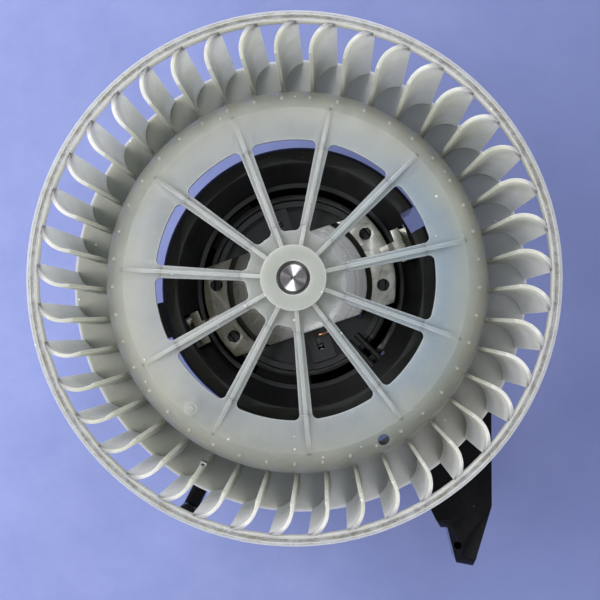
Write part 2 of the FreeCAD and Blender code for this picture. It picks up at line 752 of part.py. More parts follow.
def make_motor_shaft():
    """The shaft, chamfered at both ends and centre-drilled at the top."""
    body = new_body("motor_shaft")
    end = "inlet_height - shaft_end_drop"
    corners = [
        ("0", "shaft_foot"),
        ("shaft_radius - shaft_chamfer", "shaft_foot"),
        ("shaft_radius", "shaft_foot + shaft_chamfer"),
        ("shaft_radius", f"{end} - shaft_chamfer"),
        ("shaft_radius - shaft_chamfer", end),
        ("shaft_radius / 6", end),
        ("0", f"{end} - shaft_radius / 6"),
    ]
    turned(body, corners)
    return keep(body, "motor_shaft")


def slot_corners(gap):
    """One slot about +X, without its neck, shrunk by a gap on each side."""
    inner, outer = f"slot_inner_width / 2 - {gap}", f"slot_outer_width / 2 - {gap}"
    return [
        (f"core_back_radius + {gap}", f"-({inner})"),
        (f"{SLOT_TOP} - {gap}", f"-({outer})"),
        (f"{SLOT_TOP} - {gap}", outer),
        (f"core_back_radius + {gap}", inner),
    ]


def make_armature_core():
    """The laminated core with its slots."""
    body = new_body("armature_core")
    sketch = draw_circle(new_sketch(body, "XY_Plane", "core_foot"), "0", "0", "core_radius")
    draw_circle(sketch, "0", "0", "shaft_radius")
    padded(body, sketch, "core_length")
    first, second, third, fourth = slot_corners("0")
    neck = [("core_radius + 1", "-slot_neck / 2"), ("core_radius + 1", "slot_neck / 2")]
    mouth = [(SLOT_TOP, "-slot_neck / 2"), (SLOT_TOP, "slot_neck / 2")]
    corners = [first, second, mouth[0], *neck, mouth[1], third, fourth]
    sketch = draw_outline(new_sketch(body, "XY_Plane", CORE_TOP), corners)
    repeated(body, pocketed(body, sketch, "core_length"), "slot_count")
    return keep(body, "armature_core")


def make_armature_windings():
    """Copper in every slot, joined by a ring of end turns above and below the core."""
    body = new_body("armature_windings")

    def end_turns(near, far):
        turned(body, [
            (COIL_INNER, near),
            (COIL_OUTER, near),
            (COIL_OUTER, f"({near} + {far}) / 2"),
            (f"{COIL_OUTER} - end_turn_height / 2", far),
            (COIL_INNER, far),
        ])

    end_turns("core_foot", "core_foot - end_turn_height")
    sketch = draw_outline(new_sketch(body, "XY_Plane", "core_foot"), slot_corners("winding_gap"))
    repeated(body, padded(body, sketch, "core_length"), "slot_count")
    end_turns(CORE_TOP, WINDING_TOP)
    return keep(body, "armature_windings")


def make_commutator():
    """Twelve copper bars round a moulded hub."""
    hub = ring_solid("commutator_hub", "commutator_radius - commutator_bar", "shaft_radius",
                     WINDING_TOP, f"commutator_top - ({WINDING_TOP})")
    keep(hub, "commutator_hub")
    body = new_body("commutator_bars")
    body.AllowCompound = True
    inner = "commutator_radius - commutator_bar"
    half = "180 / slot_count - commutator_slit / commutator_radius * 90 / pi"
    corners = [
        polar("commutator_radius", f"-({half})"),
        polar("commutator_radius", half),
        polar(inner, half),
        polar(inner, f"-({half})"),
    ]
    arcs = {0: ("commutator_radius", -1), 2: (inner, 1)}
    sketch = draw_outline(new_sketch(body, "XY_Plane", WINDING_TOP), corners, arcs)
    bar = padded(body, sketch, f"commutator_top - ({WINDING_TOP})")
    repeated(body, bar, "slot_count")
    return keep(body, "commutator_bars")


def make_thrust_washers():
    """Two washers under the top bearing and one over the bottom bearing."""
    under_top = f"{FRONT_BEARING_FOOT} - washer_wall - washer_gap"
    feet = {
        "washer_upper": under_top,
        "washer_middle": f"{under_top} - washer_wall",
        "washer_lower": f"{REAR_BEARING_TOP} + washer_gap",
    }
    rings = [ring_solid(name, "washer_radius", "shaft_radius", foot, "washer_wall")
             for name, foot in feet.items()]
    return keep(group("thrust_washers", rings), "thrust_washers")


# ---------------------------------------------------------------- can, magnets, bearings and bridge

BRIDGE_TOP = "can_top + bridge_gauge"
FRONT_BEARING_FOOT = "can_top + bearing_lift"
FRONT_BEARING_TOP = "can_top + bearing_lift + bearing_length"
CUP_CEILING = "can_top + bearing_lift + bearing_length + felt_wall"
REAR_BEARING_FOOT = "boss_wall + boss_room + retainer_gauge"
REAR_BEARING_TOP = "boss_wall + boss_room + retainer_gauge + bearing_length"
SEAT_RADIUS = "bearing_radius"
CUP_MOUTH = "shaft_radius + 1"
BEARING_BORE = "shaft_radius + bearing_clearance"


def make_yoke_can():
    """The drawn steel can, closed at the foot round the rear bearing's seat."""
    body = new_body("yoke_can")
    turned(body, [
        ("0", "0"),
        ("boss_radius", "0"),
        ("boss_radius", "can_foot"),
        ("can_radius", "can_foot"),
        ("can_radius", "can_top"),
        ("can_radius - can_wall", "can_top"),
        ("can_radius - can_wall", "can_foot + can_wall"),
        ("boss_radius", "can_foot + can_wall"),
        ("boss_radius", REAR_BEARING_TOP),
        (SEAT_RADIUS, REAR_BEARING_TOP),
        (SEAT_RADIUS, "boss_wall"),
        ("0", "boss_wall"),
    ])
    notch = [
        ("can_radius - can_wall - overcut", "-lead_notch / 2"),
        ("can_radius + overcut", "-lead_notch / 2"),
        ("can_radius + overcut", "lead_notch / 2"),
        ("can_radius - can_wall - overcut", "lead_notch / 2"),
    ]
    sketch = new_sketch(body, "XY_Plane", "can_top")
    sketch.AttachmentOffset = Placement(Vector(0, 0, 0), Rotation(Z_AXIS, size("lead_angle")))
    pocketed(body, draw_outline(sketch, notch), "can_top - lead_height + lead_radius + overcut")
    outer, inner = "can_radius - vent_rim", "boss_radius + vent_rim + overcut"
    vent = [polar(outer, "vent_width"), polar(outer, "2 * vent_width"),
            polar(inner, "2 * vent_width"), polar(inner, "vent_width")]
    arcs = {0: (outer, -1), 2: (inner, 1)}
    sketch = draw_outline(new_sketch(body, "XY_Plane", "can_foot + can_wall"), vent, arcs)
    repeated(body, pocketed(body, sketch, "can_wall"), "4")
    return keep(body, "yoke_can")


def make_magnet(name, middle):
    """One ferrite arc on the can's wall."""
    body = new_body(name)
    outer, inner, half = "can_radius - can_wall", "can_radius - can_wall - magnet_wall", "magnet_span / 2"
    corners = [polar(outer, f"-{half}"), polar(outer, half), polar(inner, half), polar(inner, f"-{half}")]
    arcs = {0: (outer, -1), 2: (inner, 1)}
    sketch = draw_outline(new_sketch(body, "XY_Plane", "magnet_foot"), corners, arcs)
    padded(body, sketch, "magnet_length")
    return keep(turn_about_z(body, middle), name)


def make_magnet_springs():
    """A sprung steel strip in each gap between the magnets, pushing them apart."""
    body = new_body("magnet_springs")
    body.AllowCompound = True
    outer, half = "can_radius - can_wall", "90 - magnet_span / 2"
    inner = f"{outer} - magnet_spring_gauge"
    corners = [polar(outer, f"-({half})"), polar(outer, half), polar(inner, half), polar(inner, f"-({half})")]
    arcs = {0: (outer, -1), 2: (inner, 1)}
    foot = "magnet_foot + magnet_length / 4"
    sketch = draw_outline(new_sketch(body, "XY_Plane", foot), corners, arcs)
    repeated(body, padded(body, sketch, "magnet_length / 2"), "2")
    return keep(turn_about_z(body, BRUSH_ANGLE), "magnet_springs")


def make_bearing_bridge():
    """The stamped bar over the can's mouth, with the bearing cup in its middle."""
    body = new_body("bearing_bridge")
    cup = "bearing_radius + cup_wall"
    cup_top = f"{CUP_CEILING} + cup_wall / 2"
    groove_in, groove_out = "groove_radius - groove_width / 2", "groove_radius + groove_width / 2"
    turned(body, [
        (CUP_MOUTH, CUP_CEILING),
        (CUP_MOUTH, cup_top),
        (f"{cup} - cup_chamfer", cup_top),
        (cup, f"{cup_top} - cup_chamfer"),
        (cup, f"{BRIDGE_TOP} + cup_foot_rise"),
        (f"{cup} + cup_flare", f"{BRIDGE_TOP} + cup_flare_rise"),
        (groove_in, BRIDGE_TOP),
        (groove_in, f"{BRIDGE_TOP} - groove_depth"),
        (groove_out, f"{BRIDGE_TOP} - groove_depth"),
        (groove_out, BRIDGE_TOP),
        ("bridge_radius", BRIDGE_TOP),
        ("bridge_radius", "can_top"),
        (groove_in, "can_top"),
        (f"{cup} + cup_flare - cup_wall / 4", "can_top + cup_flare_rise"),
        (SEAT_RADIUS, "can_top + cup_flare_rise + cup_wall / 8"),
        (SEAT_RADIUS, CUP_CEILING),
    ])
    for side in ("1", "-1"):
        edge, outside = f"{side} * bridge_width / 2", f"{side} * (bridge_radius + overcut)"
        corners = [
            ("-(bridge_radius + overcut)", edge), ("bridge_radius + overcut", edge),
            ("bridge_radius + overcut", outside), ("-(bridge_radius + overcut)", outside),
        ]
        sketch = draw_outline(new_sketch(body, "XY_Plane", cup_top), corners)
        pocketed(body, sketch, f"{cup_top} - can_top + overcut")
    for number in range(4):
        angle = f"{180 * (number // 2)} + {1 - 2 * (number % 2)} * bridge_hole_angle"
        x_text, y_text = polar("bridge_hole_reach", angle)
        sketch = new_sketch(body, "XY_Plane", BRIDGE_TOP)
        pocketed(body, draw_circle(sketch, x_text, y_text, "bridge_hole_radius"), "bridge_gauge")
    return keep(turn_about_z(body, "bridge_angle"), "bearing_bridge")


def make_bearing(name, foot):
    """A sintered bush, barrelled outside, with a running bore."""
    body = new_body(name)
    shrink = "bearing_length / 4"
    turned(body, [
        (BEARING_BORE, foot),
        (f"bearing_radius - {shrink}", foot),
        ("bearing_radius", f"{foot} + {shrink}"),
        ("bearing_radius", f"{foot} + bearing_length - {shrink}"),
        (f"bearing_radius - {shrink}", f"{foot} + bearing_length"),
        (BEARING_BORE, f"{foot} + bearing_length"),
    ])
    return keep(body, name)


def make_bearing_trim():
    """The oil felt over the top bearing and the retainer under each bearing."""
    felt = ring_solid("oil_felt", SEAT_RADIUS, CUP_MOUTH, FRONT_BEARING_TOP, "felt_wall")
    keep(felt, "oil_felt")
    for name, foot in (("front_bearing_retainer", f"{FRONT_BEARING_FOOT} - retainer_gauge"),
                       ("rear_bearing_retainer", f"{REAR_BEARING_FOOT} - retainer_gauge")):
        result = ring_solid(name, "bearing_radius", "washer_radius + washer_gap", foot, "retainer_gauge")
        reach = "(bearing_radius + washer_radius + washer_gap) / 2"
        along, across = (f"-{reach}", reach), ("-retainer_notch", "retainer_notch")
        for x_span, y_span in ((along, across), (across, along)):
            slit = block(name + "_slit", x_span, y_span, (foot, f"{foot} + retainer_gauge"))
            result = joined("Cut", name + "_cut", result, slit)
        keep(result, name)


# ---------------------------------------------------------------- brush gear

BRUSH_ANGLE = "bridge_angle + 90"
CARD_TOP = "card_foot + card_wall"
TUBE_END = "card_radius - card_rim_wall - tube_end_gap"
TUBE_HALF = "brush_width / 2 + brush_clearance + tube_wall"
TUBE_TOP = "card_foot + card_wall + brush_height + 2 * brush_clearance + 2 * tube_wall"
BRUSH_FOOT = "card_foot + card_wall + tube_wall + brush_clearance"
BRUSH_START = "commutator_radius + brush_gap"
BRUSH_END = "commutator_radius + brush_gap + brush_length"
PIGTAIL_REACH = "commutator_radius + brush_gap + pigtail_seat"


def make_brush_card():
    """The moulded card that closes the can's mouth and carries the brush gear."""
    body = new_body("brush_card")
    rim = "card_radius - card_rim_wall"
    turned(body, [
        ("card_hole_radius", "card_foot"),
        ("card_radius", "card_foot"),
        ("card_radius", f"{CARD_TOP} + card_rim_height"),
        (rim, f"{CARD_TOP} + card_rim_height"),
        (rim, CARD_TOP),
        ("card_hole_radius", CARD_TOP),
    ])
    corners = [
        (f"{rim} - overcut", "-lead_notch / 2"), ("card_radius + overcut", "-lead_notch / 2"),
        ("card_radius + overcut", "lead_notch / 2"), (f"{rim} - overcut", "lead_notch / 2"),
    ]
    sketch = new_sketch(body, "XY_Plane", f"{CARD_TOP} + card_rim_height")
    sketch.AttachmentOffset = Placement(Vector(0, 0, 0), Rotation(Z_AXIS, size("lead_angle")))
    pocketed(body, draw_outline(sketch, corners), "card_rim_height")
    return keep(body, "brush_card")


def make_brush_tube(name, angle):
    """A folded brass tube with a slot along its top for the pigtail."""
    outside = block(name + "_outside", ("tube_start", TUBE_END),
                    (f"-({TUBE_HALF})", TUBE_HALF), (CARD_TOP, TUBE_TOP))
    inside = block(name + "_inside", ("tube_start - overcut", f"{TUBE_END} - tube_wall"),
                   (f"-({TUBE_HALF} - tube_wall)", f"{TUBE_HALF} - tube_wall"),
                   (f"{CARD_TOP} + tube_wall", f"{TUBE_TOP} - tube_wall"))
    slot = block(name + "_slot", ("tube_start - overcut", f"{BRUSH_END} + 2 * overcut"),
                 ("-pigtail_radius * 2", "pigtail_radius * 2"),
                 (f"{TUBE_TOP} - 2 * tube_wall", f"{TUBE_TOP} + overcut"))
    shell = joined("Cut", name + "_shell", outside, inside)
    return keep(turn_about_z(joined("Cut", name, shell, slot), angle), name)


def make_brush(name, angle):
    """A carbon brush, hollowed at the front to the commutator's curve."""
    carbon = block(name + "_block", (f"{BRUSH_START} - brush_gap * 2", BRUSH_END),
                   ("-brush_width / 2", "brush_width / 2"),
                   (BRUSH_FOOT, f"{BRUSH_FOOT} + brush_height"))
    curve = doc.addObject("Part::Cylinder", name + "_curve")
    bind(curve, **{"Radius": BRUSH_START, "Height": "brush_height + 2 * overcut",
                   "Placement.Base.z": f"{BRUSH_FOOT} - overcut"})
    return keep(turn_about_z(joined("Cut", name, carbon, curve), angle), name)


def make_brush_spring(name, angle):
    """The coil spring between a brush and the end of its tube."""
    wire, turns = size("spring_wire"), size("spring_turns")
    room = size(f"{TUBE_END} - tube_wall - ({BRUSH_END})")
    slack = size("spring_slack")
    pitch = (room - 2 * wire - 2 * slack) / turns
    shape = coil(pitch, turns, size("spring_radius"), wire)
    middle = size(f"{BRUSH_FOOT} + brush_height / 2")
    lying = Rotation(Vector(0, 1, 0), 90)
    shape.Placement = Placement(Vector(size(BRUSH_END) + wire + slack, 0, middle), lying)
    return keep(shaped(name, Part.Compound([shape]).Solids[0], size(angle)), name)


def make_pigtail(name, angle):
    """The copper braid from a brush's top over to the card beside its tube."""
    reach, top = size(PIGTAIL_REACH), size(f"{TUBE_TOP} + pigtail_rise")
    aside = size(f"{TUBE_HALF} + pigtail_aside")
    points = [
        Vector(reach, 0, size(f"{BRUSH_FOOT} + brush_height")),
        Vector(reach, 0, top),
        Vector(reach, aside, top),
        Vector(reach, aside, size(CARD_TOP)),
    ]
    braid = tube_along(points, size("pigtail_radius"), size("pigtail_bend"))
    return keep(shaped(name, braid, size(angle)), name)


def make_choke(name, side):
    """A suppression choke: a ferrite rod with a copper coil, laid on the card."""
    wire, core = size("choke_wire"), size("choke_radius")
    pitch = 2 * wire + size("choke_wire_gap")
    turns = size("choke_turns")
    axis_height = size(CARD_TOP) + core + 2 * wire
    reach = side * size("choke_reach")
    lying = Rotation(Vector(1, 0, 0), -90)
    rod = Part.makeCylinder(core, size("choke_length"))
    rod.Placement = Placement(Vector(reach, -size("choke_length") / 2, axis_height), lying)
    keep(shaped(name + "_core", rod, size("bridge_angle")), name + "_core")
    wound = coil(pitch, turns, core + wire, wire)
    wound.Placement = Placement(Vector(reach, -pitch * turns / 2, axis_height), lying)
    keep(shaped(name + "_winding", Part.Compound([wound]).Solids[0], size("bridge_angle")), name + "_winding")


def make_capacitor():
    """The suppression capacitor, standing on the card beside the leads."""
    body = doc.addObject("Part::Box", "capacitor_block")
    bind(body, **{
        "Length": "capacitor_depth", "Width": "capacitor_width", "Height": "capacitor_height",
        "Placement.Base.x": "card_radius - card_rim_wall - capacitor_depth - capacitor_inset",
        "Placement.Base.y": "-capacitor_width / 2", "Placement.Base.z": CARD_TOP,
    })
    rounded = doc.addObject("Part::Fillet", "suppression_capacitor")
    rounded.Base = body
    doc.recompute()
    count, radius = len(body.Shape.Edges), size("capacitor_round")
    rounded.Edges = [(number, radius, radius) for number in range(1, count + 1)]
    return keep(turn_about_z(rounded, "lead_angle + capacitor_turn"), "suppression_capacitor")


# ---------------------------------------------------------------- holder

SKIRT_INNER = "holder_radius - holder_wall"
RIM_FOOT = "holder_top - holder_wall"
TUNNEL_TOP = "arm_top - arm_wall"
TUNNEL_DEPTH = "arm_top - arm_wall - arm_foot"
# outline of the arm as seen into the inlet: first and last corners lie in the skirt
ARM_CORNERS = [
    polar("holder_radius - arm_root", "-38"), ("63", "-36"), ("63", "-72.5"), ("57", "-92.5"),
    ("51.5", "-91.5"), ("48.6", "-80"), ("46.4", "-80"), ("44.6", "-77"), ("40.6", "-69"),
    ("39", "-62"), polar("holder_radius - arm_root", "-59"),
]


def turned_sketch(body, level, angle):
    """A level sketch whose own X axis points along an angle in degrees."""
    sketch = new_sketch(body, "XY_Plane", level)
    sketch.AttachmentOffset = Placement(Vector(0, 0, 0), Rotation(Z_AXIS, size(angle)))
    return sketch


def rectangle(x_low, x_high, y_low, y_high):
    return [(x_low, y_low), (x_high, y_low), (x_high, y_high), (x_low, y_high)]


def make_holder_shell(body):
    """Sleeve round the can, funnel, rim and outer skirt, turned as one profile."""
    sleeve_outer = "sleeve_radius + holder_wall"
    turned(body, [
        ("floor_hole_radius", "0"),
        (sleeve_outer, "0"),
        (sleeve_outer, "funnel_foot - holder_wall"),
        ("rim_inner_radius + holder_wall / 3", RIM_FOOT),
        (SKIRT_INNER, RIM_FOOT),
        (SKIRT_INNER, "skirt_foot"),
        ("holder_radius", "skirt_foot"),
        ("holder_radius", "holder_top - holder_chamfer"),
        ("holder_radius - holder_chamfer", "holder_top"),
        ("rim_inner_radius", "holder_top"),
        ("funnel_foot_radius", "funnel_foot"),
        ("sleeve_radius", "funnel_foot"),
        ("sleeve_radius", "floor_wall"),
        ("floor_hole_radius", "floor_wall"),
    ])
    corners = [
        (f"{sleeve_outer} - weld", "skirt_foot"),
        (f"{SKIRT_INNER} + weld", "skirt_foot"),
        (f"{SKIRT_INNER} + weld", f"{RIM_FOOT} + weld"),
        ("rim_inner_radius", f"{RIM_FOOT} - weld"),
        (f"{sleeve_outer} - weld", "funnel_foot - holder_wall - 2 * weld"),
    ]
    sketch = draw_outline(new_sketch(body, "XZ_Plane"), corners)
    repeated(body, padded(body, sketch, "holder_rib_wall", both_ways=True), "holder_rib_count")


def clear_of_skirt(body, foot, top):
    """Cut away what lies inside the skirt's outer face, so that the body ends on that face."""
    return turned(body, [
        ("0", f"{foot} - overcut"), ("holder_radius", f"{foot} - overcut"),
        ("holder_radius", f"{top} + overcut"), ("0", f"{top} + overcut"),
    ], cut=True)


def make_connector_arm():
    """The arm that carries the connector, bevelled round the top of its tip."""
    body = new_body("connector_arm")
    sketch = draw_outline(new_sketch(body, "XY_Plane", "arm_foot"), ARM_CORNERS)
    arm = padded(body, sketch, "arm_top - arm_foot")
    tip_start, level = size(ARM_CORNERS[5][1]), size("arm_top")
    edges = [
        f"Edge{number}" for number, edge in enumerate(arm.Shape.Edges, start=1)
        if abs(edge.BoundBox.ZMin - level) < TOUCHING and abs(edge.BoundBox.ZMax - level) < TOUCHING
        and edge.BoundBox.YMax < tip_start + TOUCHING
    ]
    bevel = body.newObject("PartDesign::Chamfer", "bevel")
    bevel.Base = (arm, edges)
    bind(bevel, Size="arm_bevel")
    check_feature(bevel, must_add=False)
    tunnel = rectangle(SKIRT_INNER, "tunnel_reach", "-lead_notch / 2", "lead_notch / 2")
    pocketed(body, draw_outline(turned_sketch(body, TUNNEL_TOP, "lead_angle"), tunnel), TUNNEL_DEPTH)
    pocket = rectangle("socket_x - socket_width / 2", "socket_x + socket_width / 2",
                       "socket_y - socket_depth / 2", "socket_y + socket_depth / 2 + pocket_reach")
    pocketed(body, draw_outline(new_sketch(body, "XY_Plane", TUNNEL_TOP), pocket), TUNNEL_DEPTH)
    sketch = new_sketch(body, "XY_Plane", "arm_top")
    draw_circle(sketch, "arm_hole_x", "arm_hole_y", "arm_hole_radius")
    pocketed(body, sketch, "arm_top - arm_foot - arm_hole_floor")
    clear_of_skirt(body, "arm_foot", "arm_top")
    return keep(body, "connector_arm")


def make_mounting_leg():
    """A bar from the skirt to a boss with a screw hole in its underside."""
    body = new_body("mounting_leg")
    sketch = turned_sketch(body, "leg_foot", "leg_angle")
    draw_outline(sketch, rectangle(SKIRT_INNER, "leg_reach", "-leg_width / 2", "leg_width / 2"))
    padded(body, sketch, "leg_top - leg_foot")
    clear_of_skirt(body, "leg_foot", "leg_top")
    sketch = turned_sketch(body, "leg_boss_foot", "leg_angle")
    padded(body, draw_circle(sketch, "leg_reach", "0", "leg_boss_radius"), "leg_boss_top - leg_boss_foot")
    sketch = turned_sketch(body, "leg_boss_foot + leg_hole_depth", "leg_angle")
    draw_circle(sketch, "leg_reach", "0", "leg_hole_radius")
    pocketed(body, sketch, "leg_hole_depth + overcut")
    return keep(body, "mounting_leg")


def cut_clip_slots(body):
    """Slots with floors for the spring clips, a notch beside the right one, a lug beside the left."""
    half = "clip_width / 2 + clip_side_gap"
    for angle in ("clip_angle_right", "clip_angle_left"):
        sketch = turned_sketch(body, "holder_top", angle)
        draw_outline(sketch, rectangle("clip_slot_inner", "clip_slot_outer", f"-({half})", half))
        pocketed(body, sketch, "holder_top - skirt_foot")
        sketch = turned_sketch(body, "holder_top - clip_floor_drop - holder_wall", angle)
        floor = rectangle("sleeve_radius + holder_wall - weld", f"{SKIRT_INNER} + weld",
                          f"-({half} + holder_wall)", f"{half} + holder_wall")
        padded(body, draw_outline(sketch, floor), "holder_wall")
    sketch = turned_sketch(body, "holder_top", "clip_angle_right + rim_notch_turn")
    draw_outline(sketch, rectangle("clip_slot_outer + overcut", "holder_radius + overcut",
                                   "-rim_notch_width / 2", "rim_notch_width / 2"))
    pocketed(body, sketch, "holder_top - skirt_foot")
    sketch = turned_sketch(body, "holder_top - rim_lug_drop", "clip_angle_left + rim_lug_turn")
    draw_outline(sketch, rectangle(
        f"{SKIRT_INNER} + weld", "holder_radius + rim_lug_reach", "-rim_lug_width / 2", "rim_lug_width / 2"))
    padded(body, sketch, "rim_lug_height")


def make_motor_holder():
    """The sleeve, funnel, rim and skirt, with the passage for the leads."""
    body = new_body("motor_holder")
    make_holder_shell(body)
    passage = rectangle("can_radius + overcut", "holder_radius + overcut",
                        "-lead_notch / 2", "lead_notch / 2")
    sketch = draw_outline(turned_sketch(body, TUNNEL_TOP, "lead_angle"), passage)
    pocketed(body, sketch, f"{TUNNEL_TOP} - lead_height + lead_radius + overcut")
    cut_clip_slots(body)
    return keep(body, "motor_holder")


def make_spring_clip(name, angle):
    """A folded strip: tongue on the bridge, hump, leg down the slot and a hooked end."""
    body = new_body(name)
    leg_inner, leg_outer = "clip_slot_inner + clip_slot_gap", "clip_slot_inner + clip_slot_gap + clip_strip"
    hump = f"{BRIDGE_TOP} + clip_hump"
    corners = [
        ("bridge_radius - clip_tongue", BRIDGE_TOP),
        ("bridge_radius + clip_strip / 2", BRIDGE_TOP),
        ("bridge_radius + clip_hump", hump),
        (leg_inner, hump),
        (leg_inner, f"{BRIDGE_TOP} - clip_drop"),
        ("clip_slot_outer + clip_slot_gap", f"{BRIDGE_TOP} - clip_hook_tip"),
        ("clip_slot_outer + clip_slot_gap / 2", f"{BRIDGE_TOP} - clip_hook_lip"),
        (leg_outer, f"{BRIDGE_TOP} - clip_hook_root"),
        (leg_outer, f"{hump} + clip_strip"),
        ("bridge_radius + clip_hump - clip_strip / 2", f"{hump} + clip_strip"),
        ("bridge_radius", f"{BRIDGE_TOP} + clip_strip"),
        ("bridge_radius - clip_tongue", f"{BRIDGE_TOP} + clip_strip"),
    ]
    sketch = draw_outline(new_sketch(body, "XZ_Plane"), corners)
    padded(body, sketch, "clip_width", both_ways=True)
    for side in (1, -1):
        sketch = new_sketch(body, "XY_Plane", f"{hump} + clip_strip + overcut")
        draw_outline(sketch, rectangle(
            "bridge_radius - clip_tongue - overcut", f"{leg_inner} - clip_shoulder",
            f"{side} * clip_neck_width / 2", f"{side} * (clip_width / 2 + overcut)"))
        pocketed(body, sketch, "clip_hump + clip_strip + 2 * overcut")
    return keep(turn_about_z(body, angle), name)


def make_isolators():
    """Rubber pads round the can and a rubber ring under it."""
    body = new_body("isolator_pads")
    body.AllowCompound = True
    half = "pad_span / 2"
    corners = [
        polar("sleeve_radius", f"-{half}"), polar("sleeve_radius", half),
        polar("can_radius", half), polar("can_radius", f"-{half}"),
    ]
    arcs = {0: ("sleeve_radius", -1), 2: ("can_radius", 1)}
    sketch = draw_outline(new_sketch(body, "XY_Plane", "pad_foot"), corners, arcs)
    repeated(body, padded(body, sketch, "pad_length"), "3")
    keep(turn_about_z(body, "bridge_angle"), "isolator_pads")
    ring = ring_solid("foot_isolator", "can_radius - can_wall", "can_radius - can_wall - ring_pad_wall",
                      "floor_wall", "can_foot - floor_wall")
    return keep(ring, "foot_isolator")


# ---------------------------------------------------------------- leads and connector

TAB_TOP = "lead_height - lead_radius"


def make_lead(name, side):
    """An insulated wire from the card, through the tunnel, to its terminal."""
    angle = math.radians(size("lead_angle"))
    along, across = Vector(math.cos(angle), math.sin(angle), 0), Vector(-math.sin(angle), math.cos(angle), 0)
    level = Vector(0, 0, size("lead_height"))
    offset = across * (side * size("lead_spacing") / 2) + level
    start = along * size("lead_start") + offset
    terminal_x = size("socket_x") + side * size("terminal_spacing") / 2
    corner = along * ((terminal_x - offset.x) / along.x) + offset
    end = Vector(terminal_x, size("socket_y + lead_end"), level.z)
    shape = tube_along([start, corner, end], size("lead_radius"), 5 * size("lead_radius"))
    return keep(shaped(name, shape), name)


def make_terminal(name, side):
    """A folded blade: a tab under the lead's end and a blade down into the socket."""
    middle = f"socket_x + {side} * terminal_spacing / 2"
    x_span = (f"{middle} - terminal_width / 2", f"{middle} + terminal_width / 2")
    back = "socket_y + terminal_gauge / 2"
    tab = block(name + "_tab", x_span, ("socket_y - terminal_gauge / 2", "socket_y + terminal_tab"),
                (f"{TAB_TOP} - terminal_gauge", TAB_TOP))
    blade = block(name + "_blade", x_span, ("socket_y - terminal_gauge / 2", back),
                  ("socket_foot + terminal_rise", f"{TAB_TOP} - terminal_gauge / 2"))
    return keep(joined("Fuse", name, tab, blade), name)


def make_connector_housing():
    """The socket round the two blades, open at the foot."""
    half_width, half_depth = "socket_width / 2", "socket_depth / 2"
    outside = block("socket_outside", (f"socket_x - {half_width}", f"socket_x + {half_width}"),
                    (f"socket_y - {half_depth}", f"socket_y + {half_depth}"), ("socket_foot", "socket_top"))
    inside = block("socket_inside",
                   (f"socket_x - {half_width} + socket_wall", f"socket_x + {half_width} - socket_wall"),
                   (f"socket_y - {half_depth} + socket_wall", f"socket_y + {half_depth} - socket_wall"),
                   ("socket_foot - overcut", "socket_top - socket_wall"))
    shell = joined("Cut", "socket_shell", outside, inside)
    for side in (-1, 1):
        middle = f"socket_x + {side} * terminal_spacing / 2"
        slit = block(f"socket_slit_{side + 2}",
                     (f"{middle} - terminal_width / 2", f"{middle} + terminal_width / 2"),
                     ("socket_y - terminal_gauge / 2", "socket_y + terminal_gauge / 2"),
                     ("socket_top - socket_wall - overcut", "socket_top + overcut"))
        shell = joined("Cut", f"socket_step_{side + 2}", shell, slit)
    return keep(shell, "connector_housing")


# ---------------------------------------------------------------- assembly and files

def build():
    """Make every sub-part."""
    make_fan_wheel()
    make_balance_clip()
    make_motor_shaft()
    make_armature_core()
    make_armature_windings()
    make_commutator()
    make_thrust_washers()
    make_yoke_can()
    make_magnet("magnet_right", "bridge_angle")
    make_magnet("magnet_left", "bridge_angle + 180")
    make_magnet_springs()
    make_bearing_bridge()
    make_bearing("front_bearing", FRONT_BEARING_FOOT)
    make_bearing("rear_bearing", REAR_BEARING_FOOT)
    make_bearing_trim()
    make_brush_card()
    for letter, angle in (("a", BRUSH_ANGLE), ("b", f"{BRUSH_ANGLE} + 180")):
        make_brush_tube(f"brush_tube_{letter}", angle)
        make_brush(f"brush_{letter}", angle)
        make_brush_spring(f"brush_spring_{letter}", angle)
        make_pigtail(f"brush_pigtail_{letter}", angle)
    make_choke("choke_a", 1)
    make_choke("choke_b", -1)
    make_capacitor()
    make_motor_holder()
    make_connector_arm()
    make_mounting_leg()
    make_spring_clip("spring_clip_right", "clip_angle_right")
    make_spring_clip("spring_clip_left", "clip_angle_left")
    make_isolators()
    make_lead("lead_positive", 1)
    make_lead("lead_negative", -1)
    make_terminal("terminal_positive", 1)
    make_terminal("terminal_negative", -1)
    make_connector_housing()


def check_document():
    """Stop if any object failed or any sub-part's shape is unusable."""
    doc.recompute()
    failed = [item.Name for item in doc.Objects if "Invalid" in item.State or "Error" in item.State]
    bad = [item.Label for item in SUB_PARTS if item.Shape.isNull() or not item.Shape.isValid()]
    if failed or bad:
        raise RuntimeError(f"failed objects {failed}, unusable shapes {bad}")


def write_files():
    """Write each sub-part to its own STEP file."""
    os.makedirs("parts", exist_ok=True)
    for item in SUB_PARTS:
        item.Shape.exportStep(f"parts/{item.Label}.step")
        solids = item.Shape.Solids
        print(f"{item.Label:24s} {len(solids):3d} solids {sum(s.Volume for s in solids):10.1f} mm3")


build()
check_document()
write_files()
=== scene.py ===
"""A blower motor wheel standing on a plain pale floor, seen into its air inlet."""
import bpy
import json
import math
from mathutils import Matrix, Vector

